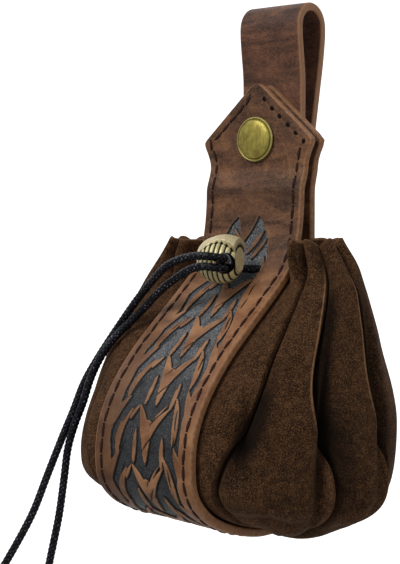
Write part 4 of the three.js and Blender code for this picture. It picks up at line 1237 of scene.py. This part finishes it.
class Paint:
    """One material, its nodes and the colour laid on it so far."""

    def __init__(self, name):
        self.material = bpy.data.materials.new(name)
        self.material.use_nodes = True
        self.tree = self.material.node_tree
        self.tree.nodes.clear()
        self.place = self.node("ShaderNodeTexCoord", output="Object")
        self.colour = None

    def node(self, kind, settings=None, inputs=None, output=0):
        """Adds a node with its settings and inputs, and returns one of its outputs."""
        made = self.tree.nodes.new(kind)
        for key, value in (settings or {}).items():
            setattr(made, key, value)
        for key, value in (inputs or {}).items():
            if isinstance(value, Value):
                self.tree.links.new(value.socket, made.inputs[key])
            else:
                made.inputs[key].default_value = value
        return Value(self, made.outputs[output]) if made.outputs else None

    def noise(self, size, detail=4.0, rough=0.55, stretch=(1, 1, 1), warp=0.0):
        """Noise from 0 to 1 whose features are about size millimetres."""
        vector = self.node("ShaderNodeMapping", None, {"Vector": self.place, "Scale": stretch})
        inputs = {"Vector": vector, "Scale": 1 / (size * MM), "Detail": detail, "Roughness": rough,
                  "Distortion": warp}
        return self.node("ShaderNodeTexNoise", None, inputs)

    def cells(self, size):
        """Distance to the nearest of scattered points about size millimetres apart."""
        return self.node("ShaderNodeTexVoronoi", None, {"Vector": self.place, "Scale": 1 / (size * MM)})

    def attribute(self, name):
        return self.node("ShaderNodeAttribute", {"attribute_name": name}, None, "Fac")

    def mixed(self, share, a, b):
        settings = {"data_type": "RGBA", "blend_type": "MIX", "clamp_factor": True}
        return self.node("ShaderNodeMix", settings, {0: share, 6: a, 7: b}, 2)

    def lay(self, share, colour):
        """Lays a colour over what is there, as much as the share says."""
        self.colour = self.mixed(share, self.colour, colour)

    def bump(self, height, millimetres, strength=1.0, normal=None):
        inputs = {"Height": height, "Distance": millimetres * MM, "Strength": strength}
        if normal is not None:
            inputs["Normal"] = normal
        return self.node("ShaderNodeBump", None, inputs)

    def finished(self, **values):
        """Ends the material; the names are the surface's inputs with _ for each space."""
        inputs = {key.replace("_", " "): value for key, value in values.items()}
        if self.colour:
            inputs["Base Color"] = self.colour
        surface = self.node("ShaderNodeBsdfPrincipled", None, inputs)
        self.node("ShaderNodeOutputMaterial", None, {"Surface": surface})
        return self.material


def leather_ground(paint, light, main, dark):
    """Lays mottled leather; returns its relief, its fine grain and its clouds."""
    clouds = paint.noise(9, 5, 0.62, warp=0.6)
    streaks = paint.noise(14, 6, 0.68, stretch=(0.45, 1, 2.0), warp=0.8)
    spots = paint.noise(1.9, 5, 0.66)
    grain = paint.noise(0.5, 5, 0.76)
    pores = paint.cells(0.9).step(0.05, 0.5)
    paint.colour = paint.mixed(clouds.step(0.4, 0.64), main, light)
    paint.lay(streaks.step(0.42, 0.64) * 0.85, dark)
    paint.lay(spots.step(0.48, 0.68) * 0.55, dark)
    paint.lay(grain.step(0.5, 0.66) * 0.5, dark)
    paint.lay((0.5 - grain).step(0.0, 0.14) * 0.45, light)
    return paint.bump(grain * 0.6 + pores * 0.35 + clouds * 0.4, 0.24, 0.8), grain, clouds


def carved_slate(paint, main, speck_and_glint):
    """Grainy colour of the carving's sunk ground: its light specks are painted glints, and it darkens in
    painted shade towards the bottom.
    """
    # painted highlight: the light specks stand for glints on the grainy ground
    slate = paint.mixed(speck_and_glint.step(0.46, 0.62), main, tone(152, 154, 156))
    slate = paint.mixed((0.5 - speck_and_glint).step(0.0, 0.14) * 0.6, slate, tone(22, 23, 28))
    slate = paint.mixed(paint.noise(6, 3).step(0.42, 0.7) * 0.6, slate, tone(26, 28, 34))
    # painted shade: the ground darkens towards the bottom
    return paint.mixed(paint.attribute("low") * 0.72, slate, tone(18, 19, 21))


def carving_outline(paint, inside, ground):
    """The dark line at the foot of the raised leather, its shadow and the thin cuts."""
    line = ground * (1 - inside.step(0.14, 0.28))
    shadow = ground * (1 - paint.attribute("shaded").step(0.12, 0.28))
    cut = 1 - paint.attribute("cuts").step(0.06, 0.2)
    return line.math("MAXIMUM", line.math("MAXIMUM", line, shadow), cut)


def tooled_leather(colours):
    paint = Paint("tooled leather")
    light, dark = tone(144, 100, 68), tone(42, 25, 19)
    relief, grain, clouds = leather_ground(paint, light, opaque(colours.leather), dark)
    edge = paint.attribute("edge")
    inside = paint.attribute("inside")
    ground = inside.step(-0.06, 0.05)
    lip = inside.step(-0.5, -0.2) * (1 - ground)
    raw = paint.mixed(paint.noise(1.4, 4).step(0.3, 0.7), tone(196, 144, 102), tone(150, 104, 72))
    tanned = paint.mixed(clouds.step(0.35, 0.65), tone(142, 92, 58), tone(200, 146, 102))
    speck_and_glint = paint.noise(0.42, 4, 0.72)
    paint.lay(paint.attribute("tan") * 0.72, tanned)
    # painted highlight: a lighter lip along the raised leather beside the ground
    paint.lay(lip * 0.22, tone(206, 158, 116))
    paint.lay(edge * 0.85, raw)
    # painted shade: the leather darkens towards the bottom and along its left side
    paint.lay(paint.attribute("dim"), tone(52, 27, 14))
    paint.lay(ground, carved_slate(paint, opaque(colours.ground), speck_and_glint))
    paint.lay(carving_outline(paint, inside, ground) * 0.97, tone(7, 6, 8))
    paint.lay(paint.attribute("groove") * (1 - edge) * 0.1, tone(50, 29, 21))
    normal = paint.bump(speck_and_glint * ground, 0.3, 0.7, relief)
    rough = 0.46 + grain * 0.14 - ground * 0.04 + edge * 0.12
    return paint.finished(Roughness=rough, Normal=normal, Specular_IOR_Level=0.32)


def loop_leather():
    paint = Paint("loop leather")
    light, main, dark = tone(134, 88, 62), tone(98, 63, 46), tone(34, 19, 14)
    relief, grain = leather_ground(paint, light, main, dark)[:2]
    paint.lay(paint.attribute("edge") * 0.8, tone(182, 132, 94))
    return paint.finished(Roughness=0.48 + grain * 0.12, Normal=relief, Specular_IOR_Level=0.4)


def suede_finish(colours):
    paint = Paint("brown suede")
    nap = paint.noise(0.4, 5, 0.78)
    fuzz = paint.noise(2.2, 5, 0.72)
    brushed = paint.noise(9, 5, 0.62, warp=0.8)
    # painted highlight: the lit line along each fold's crest, broken up by the fuzz
    painted_crest_highlight = paint.attribute("crest") * fuzz.step(0.2, 0.5) * (1 - paint.attribute("inside"))
    paint.colour = paint.mixed(brushed.step(0.4, 0.62) * 0.75, opaque(colours.suede), tone(30, 17, 10))
    paint.lay(fuzz.step(0.46, 0.68) * 0.5, tone(122, 86, 54))
    paint.lay(nap.step(0.52, 0.64) * 0.7, tone(150, 108, 72))
    paint.lay((0.5 - nap).step(0.0, 0.1) * 0.85, tone(16, 9, 6))
    # painted shade: each fold's start in the shade of the one before, and the dark hollow on the right
    # side
    paint.lay(paint.attribute("shade") * 0.9, tone(8, 4, 3))
    # painted shade: the fold valleys go near black where they sink deep
    paint.lay(paint.attribute("valley").step(0.12, 0.5) * 0.97, tone(3, 1, 1))
    paint.lay(painted_crest_highlight * 0.75, tone(170, 126, 90))
    paint.lay(paint.attribute("edge") * 0.55, tone(124, 90, 64))
    normal = paint.bump(nap * 0.7 + fuzz * 0.5, 0.45, 0.8)
    return paint.finished(Roughness=0.95, Normal=normal, Specular_IOR_Level=0.12, Sheen_Weight=0.12,
                          Sheen_Roughness=0.5, Sheen_Tint=tone(190, 150, 115))


def antique_brass(colours):
    paint = Paint("antique brass")
    tarnish = paint.noise(3.2, 6, 0.62, warp=0.7)
    brushed = paint.noise(0.5, 4, 0.6, stretch=(1, 1, 0.12))
    specks = paint.noise(0.7, 4, 0.6)
    radius = paint.attribute("radius")
    ring = radius.step(0.84, 0.88) * (1 - radius.step(0.91, 0.94))
    paint.colour = paint.mixed(tarnish.step(0.36, 0.66) * 0.7, opaque(colours.brass), tone(132, 118, 56))
    paint.lay(brushed.step(0.45, 0.75) * 0.5, tone(96, 84, 40))
    paint.lay(specks.step(0.6, 0.8) * 0.4, tone(74, 62, 32))
    paint.lay(ring * 0.6, tone(60, 50, 24))
    # painted highlight along the outer rim of each fitting
    paint.lay(radius.step(0.93, 0.96) * 0.35, tone(214, 206, 146))
    normal = paint.bump(specks * 0.4 + brushed * 0.8, 0.04, 0.5)
    rough = 0.36 + tarnish * 0.14 + brushed * 0.12
    return paint.finished(Metallic=0.75, Roughness=rough, Normal=normal)


def bead_brass(colours):
    paint = Paint("bead brass")
    tarnish = paint.noise(2.4, 5, 0.6)
    specks = paint.noise(0.45, 4, 0.66)
    groove = paint.attribute("groove")
    polish = paint.attribute("polish")
    paint.colour = paint.mixed(tarnish.step(0.4, 0.7) * 0.6, opaque(colours.bead), tone(186, 170, 96))
    # polish and painted highlight: the cap on top and the flat end are laid paler
    paint.lay(polish * 0.75, tone(214, 196, 158))
    paint.lay(specks.step(0.52, 0.72) * (0.3 + polish * 0.35), tone(96, 78, 48))
    paint.lay(groove.step(0.35, 0.75), tone(12, 9, 6))
    normal = paint.bump(specks + tarnish, 0.05, 0.5)
    rough = 0.36 + tarnish * 0.12 + groove * 0.3 + polish * 0.08
    return paint.finished(Metallic=0.3, Roughness=rough, Normal=normal)


def waxed_cord():
    paint = Paint("waxed cord")
    braid = paint.attribute("braid")
    fibre = paint.noise(0.35, 4, 0.7)
    wax_and_glint = paint.noise(1.0, 4, 0.68)
    glint = paint.noise(0.42, 2, 0.6)
    # painted shade: the hollows between the strands are darker than their crests
    paint.colour = paint.mixed(braid.step(0.3, 0.9), tone(1, 1, 2), tone(9, 10, 20))
    # painted glints: pale patches on the strand crests where the wax lies
    paint.lay(wax_and_glint.step(0.54, 0.62) * braid.step(0.72, 0.95) * 0.75, tone(150, 154, 178))
    # painted glints: fine pale sparkles on the strands
    paint.lay(glint.step(0.62, 0.68) * braid.step(0.5, 0.8) * 0.7, tone(170, 174, 196))
    rough = 0.42 - wax_and_glint.step(0.5, 0.8) * 0.2
    return paint.finished(Roughness=rough, Normal=paint.bump(fibre, 0.12, 0.6), Specular_IOR_Level=0.22)


def sewing_thread():
    paint = Paint("sewing thread")
    ply = paint.noise(0.3, 4, 0.6)
    hole = paint.attribute("hole")
    paint.colour = paint.mixed(ply.step(0.35, 0.7), tone(30, 12, 8), tone(66, 31, 21))
    # painted shade: each hole is a dark lozenge that stands for the shade inside it
    paint.lay(hole, tone(9, 5, 4))
    return paint.finished(Roughness=0.7 + hole * 0.25, Normal=paint.bump(ply, 0.12, 0.7),
                          Specular_IOR_Level=0.25)


def studio_white(glow):
    paint = Paint("studio white")
    return paint.finished(Base_Color=tone(236, 236, 236), Roughness=0.9, Specular_IOR_Level=0.0,
                          Emission_Color=(1, 1, 1, 1), Emission_Strength=glow)


def add_sheet(name, place, facing, material):
    """A square sheet of the stage at a place in metres, facing a direction."""
    bpy.ops.object.select_all(action="DESELECT")
    bpy.ops.mesh.primitive_plane_add(size=SHEET_SIZE, location=(0, 0, 0))
    sheet = bpy.context.object
    sheet.name = name
    turn = facing.to_track_quat("Z", "Y").to_matrix().to_4x4()
    sheet.data.transform(Matrix.Translation(place) @ turn)
    sheet.data.materials.append(material)


class PouchSizes(bpy.types.PropertyGroup):
    """Sizes of the finish"""
    floor_drop: bpy.props.FloatProperty(
        name="Floor Drop", description="How far the floor lies below the lowest cord end",
        default=0.75, min=0.01, max=1.0, unit="LENGTH", subtype="DISTANCE")


def colour_of(name, what, red, green, blue):
    """A colour setting that starts at an 8-bit colour."""
    return bpy.props.FloatVectorProperty(
        name=name, description=f"Main colour of the {what}", default=tone(red, green, blue)[:3],
        subtype="COLOR", size=3, min=0, max=1)


class PouchColours(bpy.types.PropertyGroup):
    """Colours of the finish"""
    leather: colour_of("Leather", "tooled strip", 106, 71, 49)
    ground: colour_of("Carved Ground", "carving's sunk ground", 68, 72, 78)
    suede: colour_of("Suede", "gathered sides", 72, 48, 31)
    brass: colour_of("Fittings", "snap and the rivet", 206, 190, 96)
    bead: colour_of("Bead", "ribbed bead", 250, 240, 186)
    backdrop: bpy.props.FloatProperty(
        name="Backdrop Glow", description="Light that the white backdrop gives off",
        default=0.95, min=0, max=5)


class POUCH_OT_camera(bpy.types.Operator):
    """Add the camera at the photograph's place"""
    bl_idname = "pouch.camera"
    bl_label = "Camera"

    def execute(self, context):
        bpy.ops.object.camera_add(location=CAMERA_PLACE)
        camera = context.object
        camera.name = "photo_camera"
        camera.rotation_mode = "QUATERNION"
        camera.rotation_quaternion = (-Vector(CAMERA_BACK)).to_track_quat("-Z", "Y")
        camera.data.sensor_width = SENSOR
        camera.data.lens = FOCAL_PIXELS / max(PHOTO_SIZE) * SENSOR
        camera.data.clip_start = 0.01
        context.scene.camera = camera
        return {"FINISHED"}


class POUCH_OT_cord_ends(bpy.types.Operator):
    """Add the two free cord ends and their knots"""
    bl_idname = "pouch.cord_ends"
    bl_label = "Cord Ends"

    def execute(self, context):
        material = waxed_cord()
        for side, route, place in (("left", CORD_END_LEFT_ROUTE, KNOT_LEFT_PLACE),
                                   ("right", CORD_END_RIGHT_ROUTE, KNOT_RIGHT_PLACE)):
            line, down = cord_end_line(route, place)
            knot = build_knot(f"cord_knot_{side}", place, down, material)
            worn(knot, "waxed_cord", f"knot_{side}")
            cord = braided_tube(f"free_cord_{side}", line, CORD, material)
            worn(cord, "waxed_cord", f"cord_end_{side}")
            path = line[::PATH_STRIDE].tolist() + [line[-1].tolist()]
            [v * MM for v in line[0]]
            [[v * MM for v in p] for p in path]
        return {"FINISHED"}


class POUCH_OT_drawstring(bpy.types.Operator):
    """Add the drawstring round the mouth"""
    bl_idname = "pouch.drawstring"
    bl_label = "Drawstring"

    def execute(self, context):
        route = [(x * (DRAWSTRING_TUCK if abs(x) > DRAWSTRING_SIDE else 1), y, z)
                 for x, y, z in DRAWSTRING_ROUTE]
        line = smooth_route(route, DRAWSTRING_STEP)
        worn(braided_tube("mouth_cord", line, CORD, waxed_cord()), "waxed_cord", "drawstring")
        return {"FINISHED"}


class POUCH_OT_strip(bpy.types.Operator):
    """Add the tooled strip and its stitches"""
    bl_idname = "pouch.strip"
    bl_label = "Tooled Strip"

    def execute(self, context):
        worn(build_strip(tooled_leather(context.scene.pouch_colours)), "tooled_leather", "leather_strip")
        worn(build_stitches(sewing_thread()), "tooled_leather")
        return {"FINISHED"}


class POUCH_OT_gussets(bpy.types.Operator):
    """Add the two gathered suede sides"""
    bl_idname = "pouch.gussets"
    bl_label = "Suede Sides"

    def execute(self, context):
        material = suede_finish(context.scene.pouch_colours)
        build_gusset(1, "suede_side_right", "gusset_right", material)
        build_gusset(-1, "suede_side_left", "gusset_left", material)
        return {"FINISHED"}


class POUCH_OT_belt_loop(bpy.types.Operator):
    """Add the belt loop"""
    bl_idname = "pouch.belt_loop"
    bl_label = "Belt Loop"

    def execute(self, context):
        worn(build_loop(loop_leather()), "loop_leather", "belt_loop")
        return {"FINISHED"}


class POUCH_OT_fittings(bpy.types.Operator):
    """Add the snap's cap and stud and the loop's rivet"""
    bl_idname = "pouch.fittings"
    bl_label = "Snap and Rivet"

    def execute(self, context):
        build_fittings(antique_brass(context.scene.pouch_colours))
        return {"FINISHED"}


class POUCH_OT_bead(bpy.types.Operator):
    """Add the ribbed bead"""
    bl_idname = "pouch.bead"
    bl_label = "Bead"

    def execute(self, context):
        worn(build_bead(bead_brass(context.scene.pouch_colours)), "bead_brass", "cord_bead")
        return {"FINISHED"}


class POUCH_OT_stage(bpy.types.Operator):
    """Add the pale floor, the backdrop and the lights"""
    bl_idname = "pouch.stage"
    bl_label = "Stage"

    def execute(self, context):
        floor = Vector((0, 0, CAD_BOX[0][2] - context.scene.pouch_sizes.floor_drop))
        back = Vector((CAMERA_BACK[0], CAMERA_BACK[1], 0))
        wall = floor + Vector((0, 0, WALL_RISE)) - back.normalized() * WALL_DISTANCE
        add_sheet("studio_floor", floor, Vector((0, 0, 1)), studio_white(0))
        add_sheet("studio_wall", wall, back, studio_white(context.scene.pouch_colours.backdrop))
        world = bpy.data.worlds.new("studio")
        world.use_nodes = True
        background = world.node_tree.nodes["Background"].inputs
        background["Color"].default_value = (1, 1, 1, 1)
        background["Strength"].default_value = WORLD_LIGHT
        context.scene.world = world
        for name, place, size, power in STUDIO_LIGHTS:
            bpy.ops.object.light_add(type="AREA", location=place)
            light = context.object
            light.name = f"studio_{name}"
            light.data.size = size
            light.data.energy = power
            light.rotation_mode = "QUATERNION"
            light.rotation_quaternion = (Vector(LIGHT_TARGET) - Vector(place)).to_track_quat("-Z", "Y")
        context.scene.view_settings.view_transform = "Standard"
        return {"FINISHED"}


class POUCH_PT_panel(bpy.types.Panel):
    """Lists the pouch's pieces"""
    bl_idname = "POUCH_PT_panel"
    bl_label = "Belt Pouch"
    bl_space_type = "VIEW_3D"
    bl_region_type = "UI"
    bl_category = "Belt Pouch"

    def draw(self, context):
        layout = self.layout
        for group in (context.scene.pouch_sizes, context.scene.pouch_colours):
            for name in group.__annotations__:
                layout.prop(group, name)
        for operator in OPERATORS:
            layout.operator(operator.bl_idname)


OPERATORS = (POUCH_OT_camera, POUCH_OT_cord_ends, POUCH_OT_drawstring, POUCH_OT_strip, POUCH_OT_gussets,
             POUCH_OT_belt_loop, POUCH_OT_fittings, POUCH_OT_bead, POUCH_OT_stage)
CLASSES = (PouchSizes, PouchColours, *OPERATORS, POUCH_PT_panel)


def register():
    for cls in CLASSES:
        bpy.utils.register_class(cls)
    bpy.types.Scene.pouch_sizes = bpy.props.PointerProperty(type=PouchSizes)
    bpy.types.Scene.pouch_colours = bpy.props.PointerProperty(type=PouchColours)


def unregister():
    del bpy.types.Scene.pouch_colours
    del bpy.types.Scene.pouch_sizes
    for cls in reversed(CLASSES):
        bpy.utils.unregister_class(cls)


def build_pouch():
    register()
    bpy.ops.pouch.camera()
    bpy.ops.pouch.cord_ends()
    bpy.ops.pouch.drawstring()
    bpy.ops.pouch.strip()
    bpy.ops.pouch.gussets()
    bpy.ops.pouch.belt_loop()
    bpy.ops.pouch.fittings()
    bpy.ops.pouch.bead()
    bpy.ops.pouch.stage()


if __name__ == "__main__":
    build_pouch()
